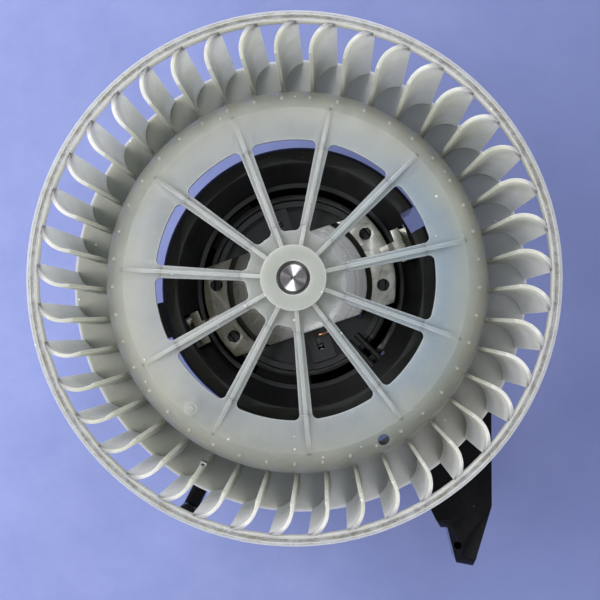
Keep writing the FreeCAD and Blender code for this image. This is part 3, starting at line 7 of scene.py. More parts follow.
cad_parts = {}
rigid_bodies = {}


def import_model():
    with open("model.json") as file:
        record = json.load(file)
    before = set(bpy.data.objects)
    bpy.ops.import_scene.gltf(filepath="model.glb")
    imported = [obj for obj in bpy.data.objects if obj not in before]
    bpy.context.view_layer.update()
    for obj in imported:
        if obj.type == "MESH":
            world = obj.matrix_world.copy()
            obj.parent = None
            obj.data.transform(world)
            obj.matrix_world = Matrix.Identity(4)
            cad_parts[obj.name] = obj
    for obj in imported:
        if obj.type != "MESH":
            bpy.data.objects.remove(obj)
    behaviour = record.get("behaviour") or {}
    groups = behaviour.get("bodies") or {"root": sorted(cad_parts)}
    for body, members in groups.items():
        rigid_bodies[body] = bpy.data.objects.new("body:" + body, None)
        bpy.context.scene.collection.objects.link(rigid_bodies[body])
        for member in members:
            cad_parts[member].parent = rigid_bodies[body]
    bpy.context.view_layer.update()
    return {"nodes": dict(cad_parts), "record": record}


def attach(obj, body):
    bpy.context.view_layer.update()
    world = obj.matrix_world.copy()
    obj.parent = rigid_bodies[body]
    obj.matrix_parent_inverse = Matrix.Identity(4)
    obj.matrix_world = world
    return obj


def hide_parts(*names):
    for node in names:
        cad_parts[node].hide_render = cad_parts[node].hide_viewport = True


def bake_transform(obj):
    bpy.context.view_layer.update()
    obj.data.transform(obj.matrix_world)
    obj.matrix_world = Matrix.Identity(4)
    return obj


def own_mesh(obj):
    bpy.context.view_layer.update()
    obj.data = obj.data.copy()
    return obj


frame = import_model()
nodes = frame["nodes"]
record = frame["record"]

# ---------------------------------------------------------------- laying out shader nodes


def new_effect(name, takes, gives):
    """An empty shader node group, with the sockets of numbers that it takes and gives."""
    tree = bpy.data.node_groups.new(name, "ShaderNodeTree")
    kind = "NodeSocketFloat"
    for label, value in takes.items():
        tree.interface.new_socket(label, in_out="INPUT", socket_type=kind).default_value = value
    for label in gives:
        tree.interface.new_socket(label, in_out="OUTPUT", socket_type=kind)
    given = tree.nodes.new("NodeGroupInput").outputs
    wanted = tree.nodes.new("NodeGroupOutput").inputs
    return tree, given, wanted


def fill(tree, socket, value):
    """Give a socket a value, or link another socket to it."""
    if isinstance(value, bpy.types.NodeSocket):
        tree.links.new(value, socket)
    else:
        socket.default_value = value


def add(tree, kind, feeds=None, **settings):
    """Add a node, set its properties and fill its sockets."""
    node = tree.nodes.new(kind)
    for name, value in settings.items():
        setattr(node, name, value)
    for socket, value in (feeds or {}).items():
        fill(tree, node.inputs[socket], value)
    return node


def maths(tree, operation, first, second=0.5, clamp=False):
    """One sum. ABSOLUTE leaves the second value unused."""
    node = add(tree, "ShaderNodeMath", {0: first, 1: second}, operation=operation, use_clamp=clamp)
    return node.outputs[0]


def times(tree, first, *others):
    """Masks or values multiplied together."""
    for other in others:
        first = maths(tree, "MULTIPLY", first, other)
    return first


def raised(tree, value, mask, amount):
    """A value with some amount added where the mask is 1."""
    return maths(tree, "ADD", value, times(tree, mask, amount))


def vector_maths(tree, operation, first, second=(0, 0, 0)):
    """One sum with vectors. LENGTH leaves the second one unused."""
    return add(tree, "ShaderNodeVectorMath", {0: first, 1: second}, operation=operation).outputs


def span(tree, value, low, high, to_low=0.0, to_high=1.0):
    """Value stretched from one range to another, held within its ends."""
    feeds = {"Value": value, "From Min": low, "From Max": high, "To Min": to_low, "To Max": to_high}
    return add(tree, "ShaderNodeMapRange", feeds).outputs["Result"]


def band(tree, value, start, full, still_full, end):
    """Mask that rises from start to full, and falls from still_full to end."""
    return times(tree, span(tree, value, start, full), span(tree, value, end, still_full))


def stretched(tree, level, reach, to_low=0.0, to_high=1.0):
    """A noise's level, which keeps near one half, stretched from that far below to above it."""
    return span(tree, level, 0.5 - reach, 0.5 + reach, to_low, to_high)


def tint(tree, mask, plain, marked, share=1.0):
    """One colour where the mask is 0, and a share of another where it is 1."""
    if share != 1.0:
        mask = times(tree, mask, share)
    node = add(tree, "ShaderNodeMix", {"Factor": mask}, data_type="RGBA")
    fill(tree, node.inputs[6], plain)
    fill(tree, node.inputs[7], marked)
    return node.outputs[2]


def noise(tree, where, scale, detail=3.0, roughness=0.55):
    """Level of a soft noise, from 0 to 1."""
    feeds = {"Vector": where, "Scale": scale, "Detail": detail, "Roughness": roughness}
    return add(tree, "ShaderNodeTexNoise", feeds).outputs["Fac"]


def cells(tree, where, scale):
    """Distance from the middle of a random cell, and a level of the cell's own."""
    voronoi = add(tree, "ShaderNodeTexVoronoi", {"Vector": where, "Scale": scale})
    colour = add(tree, "ShaderNodeSeparateColor", {"Color": voronoi.outputs["Color"]})
    return voronoi.outputs["Distance"], colour.outputs[0]


def place(tree):
    """Position on the piece, in metres from the part's origin when at rest."""
    return add(tree, "ShaderNodeTexCoord").outputs["Object"]


def component(tree, vector, axis):
    """X, Y or Z of a vector."""
    return add(tree, "ShaderNodeSeparateXYZ", {"Vector": vector}).outputs[axis]


def normal_of(tree):
    """Direction that the surface faces."""
    return add(tree, "ShaderNodeNewGeometry").outputs["Normal"]


def level_part(tree, where):
    """A place with its height left out."""
    return vector_maths(tree, "MULTIPLY", where, (1, 1, 0))["Vector"]


def radius_of(tree, where):
    """Distance from the spin axis."""
    return vector_maths(tree, "LENGTH", level_part(tree, where))["Value"]


def facing_out(tree, where, radius):
    """How far a face looks away from the spin axis: 1 straight away, -1 straight at it."""
    along = vector_maths(tree, "DOT_PRODUCT", level_part(tree, where), normal_of(tree))["Value"]
    return maths(tree, "DIVIDE", along, radius)


# ---------------------------------------------------------------- shared effects

# Values between which a mask goes from 0 to 1
ON_AN_EDGE = (0.99, 0.80)           # how far the true and the rounded normal agree
WHOLE_EDGE = (0.35, 0.6)            # level of the noise that leaves gaps in an edge
DUSTY_SLOPE = (0.1, 0.9)            # height of the normal
DUST_PATCH = (0.42, 0.7)            # level of the noise
STAIN_PATCH = (0.45, 0.72)

COMMON_CELLS = 0.93                 # share of the cells that hold no speck
CLOUD_SCALE = 38.0
DUST_PATCH_SCALE = 120.0
STAIN_SCALE = 150.0
PIT_SCALE = 1800.0
BROAD_RING_SCALE = 900.0
STREAKS = (60.0, 1500.0, 1500.0)    # rolling streaks, drawn out along X


def make_edge_catch():
    """Where an edge is near: mask 1 on the edge, broken up by noise."""
    tree, given, wanted = new_effect(
        "edge_catch", {"Width": 0.0004, "Breakup": 0.4, "Breakup Scale": 400.0}, ["Mask"])
    rounded = add(tree, "ShaderNodeBevel", {"Radius": given["Width"]}, samples=4).outputs["Normal"]
    agree = vector_maths(tree, "DOT_PRODUCT", rounded, normal_of(tree))["Value"]
    near = span(tree, agree, *ON_AN_EDGE)
    whole = span(tree, noise(tree, place(tree), given["Breakup Scale"]), *WHOLE_EDGE)
    lost = times(tree, maths(tree, "SUBTRACT", 1.0, whole), given["Breakup"])
    mask = maths(tree, "SUBTRACT", near, times(tree, lost, near), clamp=True)
    tree.links.new(mask, wanted["Mask"])
    return tree


def make_moulded_grain():
    """The fine skin of a moulding, with slow ripples from the mould's filling."""
    tree, given, wanted = new_effect(
        "moulded_grain", {"Grain Scale": 2500.0, "Ripple Scale": 90.0, "Ripple": 0.6},
        ["Height", "Clouds"])
    where = place(tree)
    fine = noise(tree, where, given["Grain Scale"], detail=2.0)
    ripple = noise(tree, where, given["Ripple Scale"], detail=2.0, roughness=0.4)
    swell = times(tree, ripple, given["Ripple"])
    tree.links.new(maths(tree, "ADD", times(tree, fine, 0.35), swell), wanted["Height"])
    tree.links.new(noise(tree, where, CLOUD_SCALE, detail=4.0), wanted["Clouds"])
    return tree


def make_settled_dust():
    """Dust in patches on faces that look up, and small specks."""
    tree, given, wanted = new_effect(
        "settled_dust", {"Speck Scale": 900.0, "Speck Size": 0.12, "Film": 0.5},
        ["Specks", "Film"])
    where = place(tree)
    distance, level = cells(tree, where, given["Speck Scale"])
    small = maths(tree, "LESS_THAN", distance, given["Speck Size"])
    rare = maths(tree, "GREATER_THAN", level, COMMON_CELLS)
    tree.links.new(times(tree, small, rare), wanted["Specks"])
    upward = span(tree, component(tree, normal_of(tree), "Z"), *DUSTY_SLOPE)
    patches = noise(tree, where, DUST_PATCH_SCALE, detail=5.0, roughness=0.65)
    film = times(tree, upward, span(tree, patches, *DUST_PATCH), given["Film"])
    tree.links.new(film, wanted["Film"])
    return tree


def make_turning_marks():
    """Fine rings about the spin axis, as a lathe leaves them."""
    tree, given, wanted = new_effect("turning_marks", {"Pitch": 4000.0}, ["Height", "Shade"])
    where = place(tree)
    radius = radius_of(tree, where)
    height = times(tree, component(tree, where, "Z"), 0.6)
    line = add(tree, "ShaderNodeCombineXYZ", {"X": radius, "Y": height}).outputs[0]
    rings = noise(tree, line, given["Pitch"], detail=2.0, roughness=0.7)
    broad = noise(tree, line, BROAD_RING_SCALE, detail=1.0)
    tree.links.new(rings, wanted["Height"])
    tree.links.new(times(tree, maths(tree, "ADD", rings, broad), 0.5), wanted["Shade"])
    return tree


def make_rolled_sheet():
    """Rolling streaks along X, fine pits, zinc spangle and stains."""
    tree, given, wanted = new_effect(
        "rolled_sheet", {"Spangle Scale": 420.0}, ["Height", "Spangle", "Stain"])
    where = place(tree)
    drawn = add(tree, "ShaderNodeMapping", {"Vector": where, "Scale": STREAKS}).outputs[0]
    streaks = noise(tree, drawn, 1.0, detail=3.0, roughness=0.7)
    pits = noise(tree, where, PIT_SCALE, detail=2.0)
    height = maths(tree, "ADD", times(tree, streaks, 0.6), times(tree, pits, 0.4))
    tree.links.new(height, wanted["Height"])
    tree.links.new(cells(tree, where, given["Spangle Scale"])[1], wanted["Spangle"])
    stain = noise(tree, where, STAIN_SCALE, detail=5.0, roughness=0.6)
    tree.links.new(span(tree, stain, *STAIN_PATCH), wanted["Stain"])
    return tree


EFFECTS = {
    "edge_catch": make_edge_catch(),
    "moulded_grain": make_moulded_grain(),
    "settled_dust": make_settled_dust(),
    "turning_marks": make_turning_marks(),
    "rolled_sheet": make_rolled_sheet(),
}

# ---------------------------------------------------------------- materials

# Distances from the spin axis, in metres, between which one shade fades into the next
BOSS = (0.019, 0.009)
PLATE_TO_SHOULDER = (0.044, 0.055)
SHOULDER_TO_BLADES = (0.062, 0.071)
RING = (0.0700, 0.0712)
HOLDER_INSIDE = (0.0575, 0.0540)
BEARING_SEAT = (0.0222, 0.0218)

# Bands about the spin axis: where each starts, is full, is still full and ends
SHOULDER = (0.0485, 0.0495, 0.0575, 0.0585)
BLADE_FLANKS = (0.0570, 0.0590, 0.0725, 0.0740)
RING_GROOVE = (0.0722, 0.0728, 0.0742, 0.0748)
SEAT_GROOVE = (0.0219, 0.0222, 0.0237, 0.0240)

# Slopes of a face between which a shade fades in: the height of its normal, or how far it
# looks out from the spin axis
OPEN_SIDE = (0.25, 0.5)
RING_SLOPE = (0.15, 0.5)
UPRIGHT = (0.8, 0.3)
NOT_OUTWARD = (0.7, 0.4)

# Heights, and places along X, between which a shade fades in; along X these are painted shade: on
# the plate with a blue cast, on the blades' flanks and on the bridge
RING_TOP = (0.1120, 0.1135)
BELOW_RING = (0.104, 0.098)
PLATE_PAINTED_SHADE_SIDE = (0.005, 0.045)
FLANK_PAINTED_SHADE_SIDE = (0.010, -0.045)
LEFT_PAINTED_SHADE_ON_BRIDGE = (0.008, -0.008)

BALANCE_HOLE = (0.02618, -0.04723, 0.0)     # centre of the small hole in the wheel's plate
BALANCE_HOLE_RIM = (0.00185, 0.00175)       # distances from its centre between which painted shade darkens it
PAINTED_HIGHLIGHT_LINE = (0.26, 0.966, 0.0)     # direction across the spin axis along which a highlight is painted on turned ends
ON_PAINTED_HIGHLIGHT_LINE = (0.86, 0.99)        # agreement with that direction between which the painted highlight starts
BORDER_WANDER = 0.014               # how far clouds shift the borders of the moulding's shades
GRIME_SCALE = 380.0
GRIME_PATCH = (0.43, 0.60)

# Shades of the milky moulding, in its darker and in its paler clouds
COOL_MILK = (0.250, 0.266, 0.270, 1), (0.305, 0.320, 0.316, 1)
OLIVE_MILK = (0.320, 0.325, 0.265, 1), (0.375, 0.378, 0.320, 1)
# the blades: paler than the plate, partly as painted light
PALE_MILK_WITH_PAINTED_LIGHT = (0.61, 0.60, 0.52, 1), (0.72, 0.71, 0.66, 1)
# the blades' flanks below the ring: olive, and darker as painted shade
OLIVE_FLANK_AND_PAINTED_SHADE = (0.44, 0.435, 0.37, 1), (0.54, 0.535, 0.48, 1)

# One shade each
# painted shade on the plate's +X side, with the floor's blue cast
BLUE_PAINTED_SHADE_MILK = (0.230, 0.285, 0.330, 1)
# painted shade on the blades' flanks towards -X
FLANK_PAINTED_SHADE_MILK = (0.255, 0.25, 0.185, 1)
BOSS_MILK = (0.38, 0.39, 0.35, 1)
# the ring's face; its bluish cast is a painted reflection of the floor
RING_MILK_AND_PAINTED_REFLECTION = (0.335, 0.345, 0.36, 1)
# edges: wear and painted highlights
EDGE_WEAR_AND_PAINTED_HIGHLIGHT_MILK = (0.66, 0.67, 0.63, 1)
DUST_ON_MILK = (0.34, 0.34, 0.29, 1)
SPECK_ON_MILK = (0.80, 0.81, 0.78, 1)
GRIME = (0.17, 0.145, 0.115, 1)
# painted shade in the balance hole
HOLE_PAINTED_SHADE = (0.03, 0.03, 0.03, 1)
# painted light on upright walls
WALL_PAINTED_LIGHT_BLACK = (0.016, 0.016, 0.018, 1)
# edges: wear and painted highlights
EDGE_WEAR_AND_PAINTED_HIGHLIGHT_BLACK = (0.075, 0.075, 0.08, 1)
DUST_ON_BLACK = (0.11, 0.105, 0.10, 1)
SPECK_ON_BLACK = (0.22, 0.21, 0.20, 1)
ZINC_STAIN = (0.17, 0.155, 0.115, 1)
# painted shade on the bridge and its seat towards -X
ZINC_IN_PAINTED_SHADE = (0.11, 0.10, 0.08, 1)
SEAT_IN_PAINTED_SHADE = (0.10, 0.095, 0.075, 1)
# painted shade, with dirt, in the groove round the seat
SEAT_GROOVE_PAINTED_SHADE_AND_DIRT = (0.02, 0.019, 0.017, 1)
WORN_ZINC = (0.80, 0.80, 0.77, 1)
WORN_SHEET = (0.86, 0.86, 0.84, 1)
WORN_TURNED = (0.88, 0.87, 0.86, 1)
# painted highlight on turned ends
TURNED_PAINTED_HIGHLIGHT = (0.97, 0.97, 0.98, 1)

# The other shades in pairs, the darker one first
CLEAN_BLACK = (0.002, 0.002, 0.0025, 1), (0.004, 0.004, 0.005, 1)
DUSTY_BLACK = (0.018, 0.018, 0.019, 1), (0.036, 0.036, 0.037, 1)
ZINC = (0.52, 0.515, 0.48, 1), (0.66, 0.65, 0.61, 1)
# the seat: bright turned metal, partly a painted reflection
SEAT_METAL_AND_PAINTED_REFLECTION = (0.68, 0.68, 0.69, 1), (0.96, 0.96, 0.97, 1)
PALE_FLOOR = (0.245, 0.29, 0.585, 1), (0.305, 0.35, 0.66, 1)


def new_finish(name, **constants):
    """A material with one Principled shader, whose plain sockets are set here."""
    material = bpy.data.materials.new(name)
    material.use_nodes = True
    tree = material.node_tree
    shader = tree.nodes["Principled BSDF"].inputs
    for socket, value in constants.items():
        shader[socket.replace("_", " ")].default_value = value
    return material, tree, shader


def effect(tree, name, **values):
    """Place a shared effect with this material's own values."""
    node = tree.nodes.new("ShaderNodeGroup")
    node.node_tree = EFFECTS[name]
    for socket, value in values.items():
        node.inputs[socket.replace("_", " ")].default_value = value
    return node.outputs


def bumped(tree, shader, height, depth):
    """Feed a height into the shader's normal as a bump of a depth in metres."""
    bump = add(tree, "ShaderNodeBump", {"Height": height, "Strength": 1.0, "Distance": depth})
    tree.links.new(bump.outputs["Normal"], shader["Normal"])


def scaled_colour(colour, factor, lift=0.0):
    """A colour made darker or paler, no brighter than white."""
    return tuple(min(1.0, factor * level + lift) for level in colour[:3]) + (1,)


def natural_polypropylene():
    """Milky moulding: cool grey on the plate, olive on its shoulder, warm blades, a soiled ring;
    with painted light, shade, highlights and a painted reflection.
    """
    material, tree, shader = new_finish(
        "natural_polypropylene", Subsurface_Weight=0.9, Subsurface_Radius=(1.0, 1.05, 0.85),
        Subsurface_Scale=0.009, Specular_IOR_Level=0.4, IOR=1.49)
    grain = effect(tree, "moulded_grain", Grain_Scale=1800.0, Ripple_Scale=70.0, Ripple=0.8)
    dust = effect(tree, "settled_dust", Speck_Scale=360.0, Speck_Size=0.13, Film=0.35)
    edge = effect(tree, "edge_catch", Width=0.0005, Breakup=0.5, Breakup_Scale=260.0)
    where = place(tree)
    radius = radius_of(tree, where)
    height = component(tree, where, "Z")
    across = component(tree, where, "X")
    upward = component(tree, normal_of(tree), "Z")
    clouds = stretched(tree, grain["Clouds"], 0.14)

    # Plate, shoulder and blades, with wandering borders; the blades are painted far paler than the
    # plate, partly painted light for the shade between them
    cool = tint(tree, clouds, *COOL_MILK)
    # Painted shade towards +X, with the floor's blue painted in as if seen through the plate
    cool = tint(tree, span(tree, across, *PLATE_PAINTED_SHADE_SIDE), cool, BLUE_PAINTED_SHADE_MILK)
    olive = tint(tree, clouds, *OLIVE_MILK)
    pale = tint(tree, clouds, *PALE_MILK_WITH_PAINTED_LIGHT)
    off_middle = maths(tree, "SUBTRACT", grain["Clouds"], 0.5)
    reach = raised(tree, radius, off_middle, BORDER_WANDER)
    milk = tint(tree, span(tree, reach, *PLATE_TO_SHOULDER), cool, olive)
    milk = tint(tree, span(tree, reach, *SHOULDER_TO_BLADES), milk, pale)

    # The blades' open sides below the ring, olive and darker as painted shade under the ring and
    # between the blades, more towards -X; and the wheel's boss
    open_side = maths(tree, "MAXIMUM", facing_out(tree, where, radius), upward)
    flank = times(tree, band(tree, radius, *BLADE_FLANKS), span(tree, open_side, *OPEN_SIDE),
                  span(tree, height, *BELOW_RING))
    flank_with_painted_shade = tint(tree, clouds, *OLIVE_FLANK_AND_PAINTED_SHADE)
    flank_with_painted_shade = tint(tree, span(tree, across, *FLANK_PAINTED_SHADE_SIDE), flank_with_painted_shade, FLANK_PAINTED_SHADE_MILK)
    milk = tint(tree, flank, milk, flank_with_painted_shade)
    milk = tint(tree, span(tree, radius, *BOSS), milk, BOSS_MILK, 0.6)

    # The ring's upper face, its bluish cast a painted reflection of the floor, with dirt in its
    # groove
    on_ring = times(tree, span(tree, radius, *RING), span(tree, height, *RING_TOP),
                    span(tree, upward, *RING_SLOPE))
    milk = tint(tree, on_ring, milk, RING_MILK_AND_PAINTED_REFLECTION)
    grime = noise(tree, where, GRIME_SCALE, detail=6.0, roughness=0.78)
    soiled = times(tree, band(tree, radius, *RING_GROOVE), on_ring,
                   span(tree, grime, *GRIME_PATCH))
    milk = tint(tree, soiled, milk, GRIME, 0.8)

    # Dust, worn edges with painted highlights that are fainter on the shoulder, specks and painted
    # shade in the balance hole
    milk = tint(tree, dust["Film"], milk, DUST_ON_MILK, 0.6)
    edge_wear_and_highlight = span(tree, band(tree, radius, *SHOULDER), 0.0, 1.0, 0.7, 0.12)
    milk = tint(tree, times(tree, edge["Mask"], edge_wear_and_highlight), milk, EDGE_WEAR_AND_PAINTED_HIGHLIGHT_MILK)
    milk = tint(tree, dust["Specks"], milk, SPECK_ON_MILK)
    # Painted shade in the balance hole
    from_hole = vector_maths(tree, "SUBTRACT", where, BALANCE_HOLE)["Vector"]
    in_hole = span(tree, radius_of(tree, from_hole), *BALANCE_HOLE_RIM)
    milk = tint(tree, in_hole, milk, HOLE_PAINTED_SHADE)

    tree.links.new(milk, shader["Base Color"])
    satin = stretched(tree, grain["Clouds"], 0.2, 0.30, 0.46)
    tree.links.new(raised(tree, satin, dust["Film"], 0.3), shader["Roughness"])
    bumped(tree, shader, grain["Height"], depth=0.00012)
    return material


def black_plastic():
    """Black filled moulding: glossy on upright walls, glossy but dusty inside the holder; painted
    light on upright walls and painted highlights on edges.
    """
    material, tree, shader = new_finish("black_plastic", Specular_IOR_Level=0.08,
                                        Coat_Roughness=0.13)
    grain = effect(tree, "moulded_grain", Grain_Scale=3200.0, Ripple_Scale=120.0, Ripple=0.3)
    dust = effect(tree, "settled_dust", Speck_Scale=700.0, Speck_Size=0.09, Film=0.5)
    edge = effect(tree, "edge_catch", Width=0.0005, Breakup=0.8, Breakup_Scale=500.0)
    where = place(tree)
    radius = radius_of(tree, where)
    clouds = stretched(tree, grain["Clouds"], 0.15)
    not_outward = span(tree, facing_out(tree, where, radius), *NOT_OUTWARD)
    inside = times(tree, span(tree, radius, *HOLDER_INSIDE), not_outward)
    level = maths(tree, "ABSOLUTE", component(tree, normal_of(tree), "Z"))
    upright = span(tree, level, *UPRIGHT)

    black = tint(tree, clouds, *CLEAN_BLACK)
    black = tint(tree, inside, black, tint(tree, clouds, *DUSTY_BLACK))
    # Painted light: upright walls tinted lighter than the tops outside the holder
    black = tint(tree, upright, black, WALL_PAINTED_LIGHT_BLACK, 0.5)
    black = tint(tree, dust["Film"], black, DUST_ON_BLACK, 0.04)
    # Edges lightened: wear and painted highlights
    black = tint(tree, edge["Mask"], black, EDGE_WEAR_AND_PAINTED_HIGHLIGHT_BLACK, 0.45)
    black = tint(tree, dust["Specks"], black, SPECK_ON_BLACK)
    tree.links.new(black, shader["Base Color"])

    glossy = times(tree, maths(tree, "MAXIMUM", inside, upright), 0.9)
    tree.links.new(glossy, shader["Coat Weight"])
    rough = stretched(tree, grain["Clouds"], 0.2, 0.18, 0.30)
    rough = raised(tree, rough, inside, 0.22)
    tree.links.new(raised(tree, rough, dust["Film"], 0.25), shader["Roughness"])
    bumped(tree, shader, grain["Height"], depth=0.00008)
    return material


def sheet_metal(name, base, dull, low_rough, high_rough, spangle):
    """Stamped sheet: spangle, rolling streaks, dull stains and bright edges."""
    material, tree, shader = new_finish(name, Metallic=1.0)
    sheet = effect(tree, "rolled_sheet", Spangle_Scale=spangle)
    edge = effect(tree, "edge_catch", Width=0.0003, Breakup=0.5, Breakup_Scale=600.0)
    metal = tint(tree, sheet["Spangle"], scaled_colour(base, 0.78), base)
    metal = tint(tree, sheet["Stain"], metal, dull, 0.6)
    metal = tint(tree, edge["Mask"], metal, WORN_SHEET, 0.6)
    tree.links.new(metal, shader["Base Color"])
    rough = span(tree, sheet["Spangle"], 0.0, 1.0, low_rough, high_rough)
    tree.links.new(raised(tree, rough, sheet["Stain"], 0.15), shader["Roughness"])
    bumped(tree, shader, sheet["Height"], depth=0.00003)
    return material


def galvanised_steel():
    """Zinc coated stampings: dull and yellowed, with a bright turned seat round the bearing, partly
    a painted reflection, and painted shade towards -X.
    """
    material, tree, shader = new_finish("galvanised_steel", Metallic=1.0)
    sheet = effect(tree, "rolled_sheet", Spangle_Scale=380.0)
    marks = effect(tree, "turning_marks", Pitch=2600.0)
    edge = effect(tree, "edge_catch", Width=0.0003, Breakup=0.5, Breakup_Scale=600.0)
    where = place(tree)
    radius = radius_of(tree, where)
    # Painted shade: the bridge and its seat darken towards -X, so the seat's +X side reads as a
    # reflection
    bridge_painted_shade = span(tree, component(tree, where, "X"), *LEFT_PAINTED_SHADE_ON_BRIDGE)
    seat = span(tree, radius, *BEARING_SEAT)

    zinc = tint(tree, sheet["Spangle"], *ZINC)
    zinc = tint(tree, sheet["Stain"], zinc, ZINC_STAIN, 0.7)
    zinc = tint(tree, bridge_painted_shade, zinc, ZINC_IN_PAINTED_SHADE, 0.8)
    # The seat's near white is turned metal and partly a painted reflection
    bright = tint(tree, stretched(tree, marks["Shade"], 0.12), *SEAT_METAL_AND_PAINTED_REFLECTION)
    bright = tint(tree, bridge_painted_shade, bright, SEAT_IN_PAINTED_SHADE, 0.9)
    zinc = tint(tree, seat, zinc, bright)
    zinc = tint(tree, edge["Mask"], zinc, WORN_ZINC, 0.6)
    # Painted shade, with dirt, in the groove round the seat
    zinc = tint(tree, band(tree, radius, *SEAT_GROOVE), zinc, SEAT_GROOVE_PAINTED_SHADE_AND_DIRT)
    tree.links.new(zinc, shader["Base Color"])

    tree.links.new(span(tree, seat, 0.0, 1.0, 1.0, 0.3), shader["Metallic"])
    rough = span(tree, sheet["Spangle"], 0.0, 1.0, 0.26, 0.42)
    rough = raised(tree, rough, sheet["Stain"], 0.15)
    tree.links.new(raised(tree, rough, seat, -0.06), shader["Roughness"])
    height = tint(tree, seat, sheet["Height"], marks["Height"])
    bumped(tree, shader, height, depth=0.00003)
    return material


def turned_metal(name, base, pitch, low_rough, high_rough, depth):
    """Metal with fine rings about the spin axis, and a painted highlight along one line across it.
    """
    material, tree, shader = new_finish(name, Metallic=1.0, Anisotropic=1.0)
    marks = effect(tree, "turning_marks", Pitch=pitch)
    edge = effect(tree, "edge_catch", Width=0.0002, Breakup=0.3, Breakup_Scale=900.0)
    where = place(tree)
    along = vector_maths(tree, "DOT_PRODUCT", where, PAINTED_HIGHLIGHT_LINE)["Value"]
    aligned = maths(tree, "DIVIDE", maths(tree, "ABSOLUTE", along), radius_of(tree, where))
    metal = tint(tree, stretched(tree, marks["Shade"], 0.15), scaled_colour(base, 0.6), base)
    # Painted highlight: near white along one line across the spin axis
    metal = tint(tree, span(tree, aligned, *ON_PAINTED_HIGHLIGHT_LINE), metal, TURNED_PAINTED_HIGHLIGHT)
    metal = tint(tree, edge["Mask"], metal, WORN_TURNED, 0.7)
    tree.links.new(metal, shader["Base Color"])
    rough = stretched(tree, marks["Shade"], 0.2, low_rough, high_rough)
    tree.links.new(rough, shader["Roughness"])
    bumped(tree, shader, marks["Height"], depth)
    return material


def grained_solid(name, light, dark, scale, low_rough, high_rough, depth, metallic=0.0):
    """A pressed or dipped material with a mottled, pitted surface."""
    material, tree, shader = new_finish(name, Metallic=metallic)
    where = place(tree)
    mottle = noise(tree, where, scale, detail=5.0, roughness=0.7)
    edge = effect(tree, "edge_catch", Width=0.0003, Breakup=0.6, Breakup_Scale=800.0)
    colour = tint(tree, stretched(tree, mottle, 0.15), dark, light)
    colour = tint(tree, edge["Mask"], colour, scaled_colour(light, 1.6, lift=0.02), 0.5)
    tree.links.new(colour, shader["Base Color"])
    tree.links.new(stretched(tree, mottle, 0.2, low_rough, high_rough), shader["Roughness"])
    bumped(tree, shader, noise(tree, where, scale * 4, detail=3.0), depth)
    return material


def wound_wire(name, light, dark, pitch):
    """Copper wire: fine parallel turns with a glaze."""
    material, tree, shader = new_finish(name, Metallic=1.0, Coat_Weight=0.4, Coat_Roughness=0.15)
    drawn = {"Vector": place(tree), "Scale": (pitch * 0.2, pitch * 0.2, pitch)}
    strands = noise(tree, add(tree, "ShaderNodeMapping", drawn).outputs[0], 1.0, detail=2.0)
    tree.links.new(tint(tree, stretched(tree, strands, 0.15), dark, light), shader["Base Color"])
    tree.links.new(stretched(tree, strands, 0.2, 0.22, 0.42), shader["Roughness"])
    bumped(tree, shader, strands, depth=0.00015)
    return material


# Base, dull stain, least and most roughness, scale of the spangle
STAMPED_SHEETS = {
    "spring_steel": ((0.50, 0.50, 0.51, 1), (0.30, 0.28, 0.25, 1), 0.22, 0.36, 900.0),
    "electrical_steel": ((0.36, 0.36, 0.39, 1), (0.22, 0.18, 0.15, 1), 0.35, 0.5, 700.0),
    "brass_sheet": ((0.74, 0.58, 0.28, 1), (0.40, 0.28, 0.12, 1), 0.24, 0.38, 800.0),
}

# Light, dark, scale of the mottle, least and most roughness, depth of the pits, metallic
GRAINED_SOLIDS = {
    # black_steel, the yoke can's finish: near black, which stands in for painted shade round the
    # can's rim under the hub
    "black_steel": ((0.016, 0.016, 0.018, 1), (0.007, 0.007, 0.008, 1), 900.0,
                    0.30, 0.46, 0.00004),
    "sintered_bronze": ((0.52, 0.37, 0.20, 1), (0.30, 0.20, 0.10, 1), 1600.0,
                        0.4, 0.6, 0.00005, 1.0),
    "phenolic_resin": ((0.22, 0.11, 0.06, 1), (0.12, 0.06, 0.035, 1), 700.0, 0.35, 0.5, 0.00003),
    "ferrite": ((0.085, 0.085, 0.095, 1), (0.045, 0.045, 0.05, 1), 1100.0, 0.45, 0.65, 0.00006),
    "carbon": ((0.06, 0.06, 0.062, 1), (0.025, 0.025, 0.027, 1), 1500.0, 0.3, 0.5, 0.00004),
    "felt": ((0.58, 0.52, 0.40, 1), (0.34, 0.29, 0.20, 1), 1300.0, 0.8, 0.95, 0.0003),
    "capacitor_resin": ((0.03, 0.05, 0.15, 1), (0.015, 0.025, 0.08, 1), 500.0,
                        0.14, 0.26, 0.00004),
    "isolator_rubber": ((0.035, 0.035, 0.035, 1), (0.018, 0.018, 0.018, 1), 900.0,
                        0.6, 0.8, 0.00006),
    "black_insulation": ((0.03, 0.03, 0.032, 1), (0.015, 0.015, 0.016, 1), 260.0,
                         0.26, 0.42, 0.00003),
}

# Light, dark, turns of the wire per metre
WOUND_WIRES = {
    "enamelled_copper": ((0.62, 0.27, 0.10, 1), (0.30, 0.11, 0.04, 1), 1800.0),
    "bare_copper": ((0.78, 0.42, 0.26, 1), (0.46, 0.22, 0.13, 1), 2600.0),
}

FINISHES = {
    "natural_polypropylene": natural_polypropylene(),
    "black_plastic": black_plastic(),
    "galvanised_steel": galvanised_steel(),
    "turned_steel": turned_metal("turned_steel", base=(0.22, 0.21, 0.22, 1), pitch=4200.0,
                                 low_rough=0.30, high_rough=0.42, depth=0.000015),
}
for make, looks in ((sheet_metal, STAMPED_SHEETS), (grained_solid, GRAINED_SOLIDS),
                    (wound_wire, WOUND_WIRES)):
    for slot_name, look in looks.items():
        FINISHES[slot_name] = make(slot_name, *look)

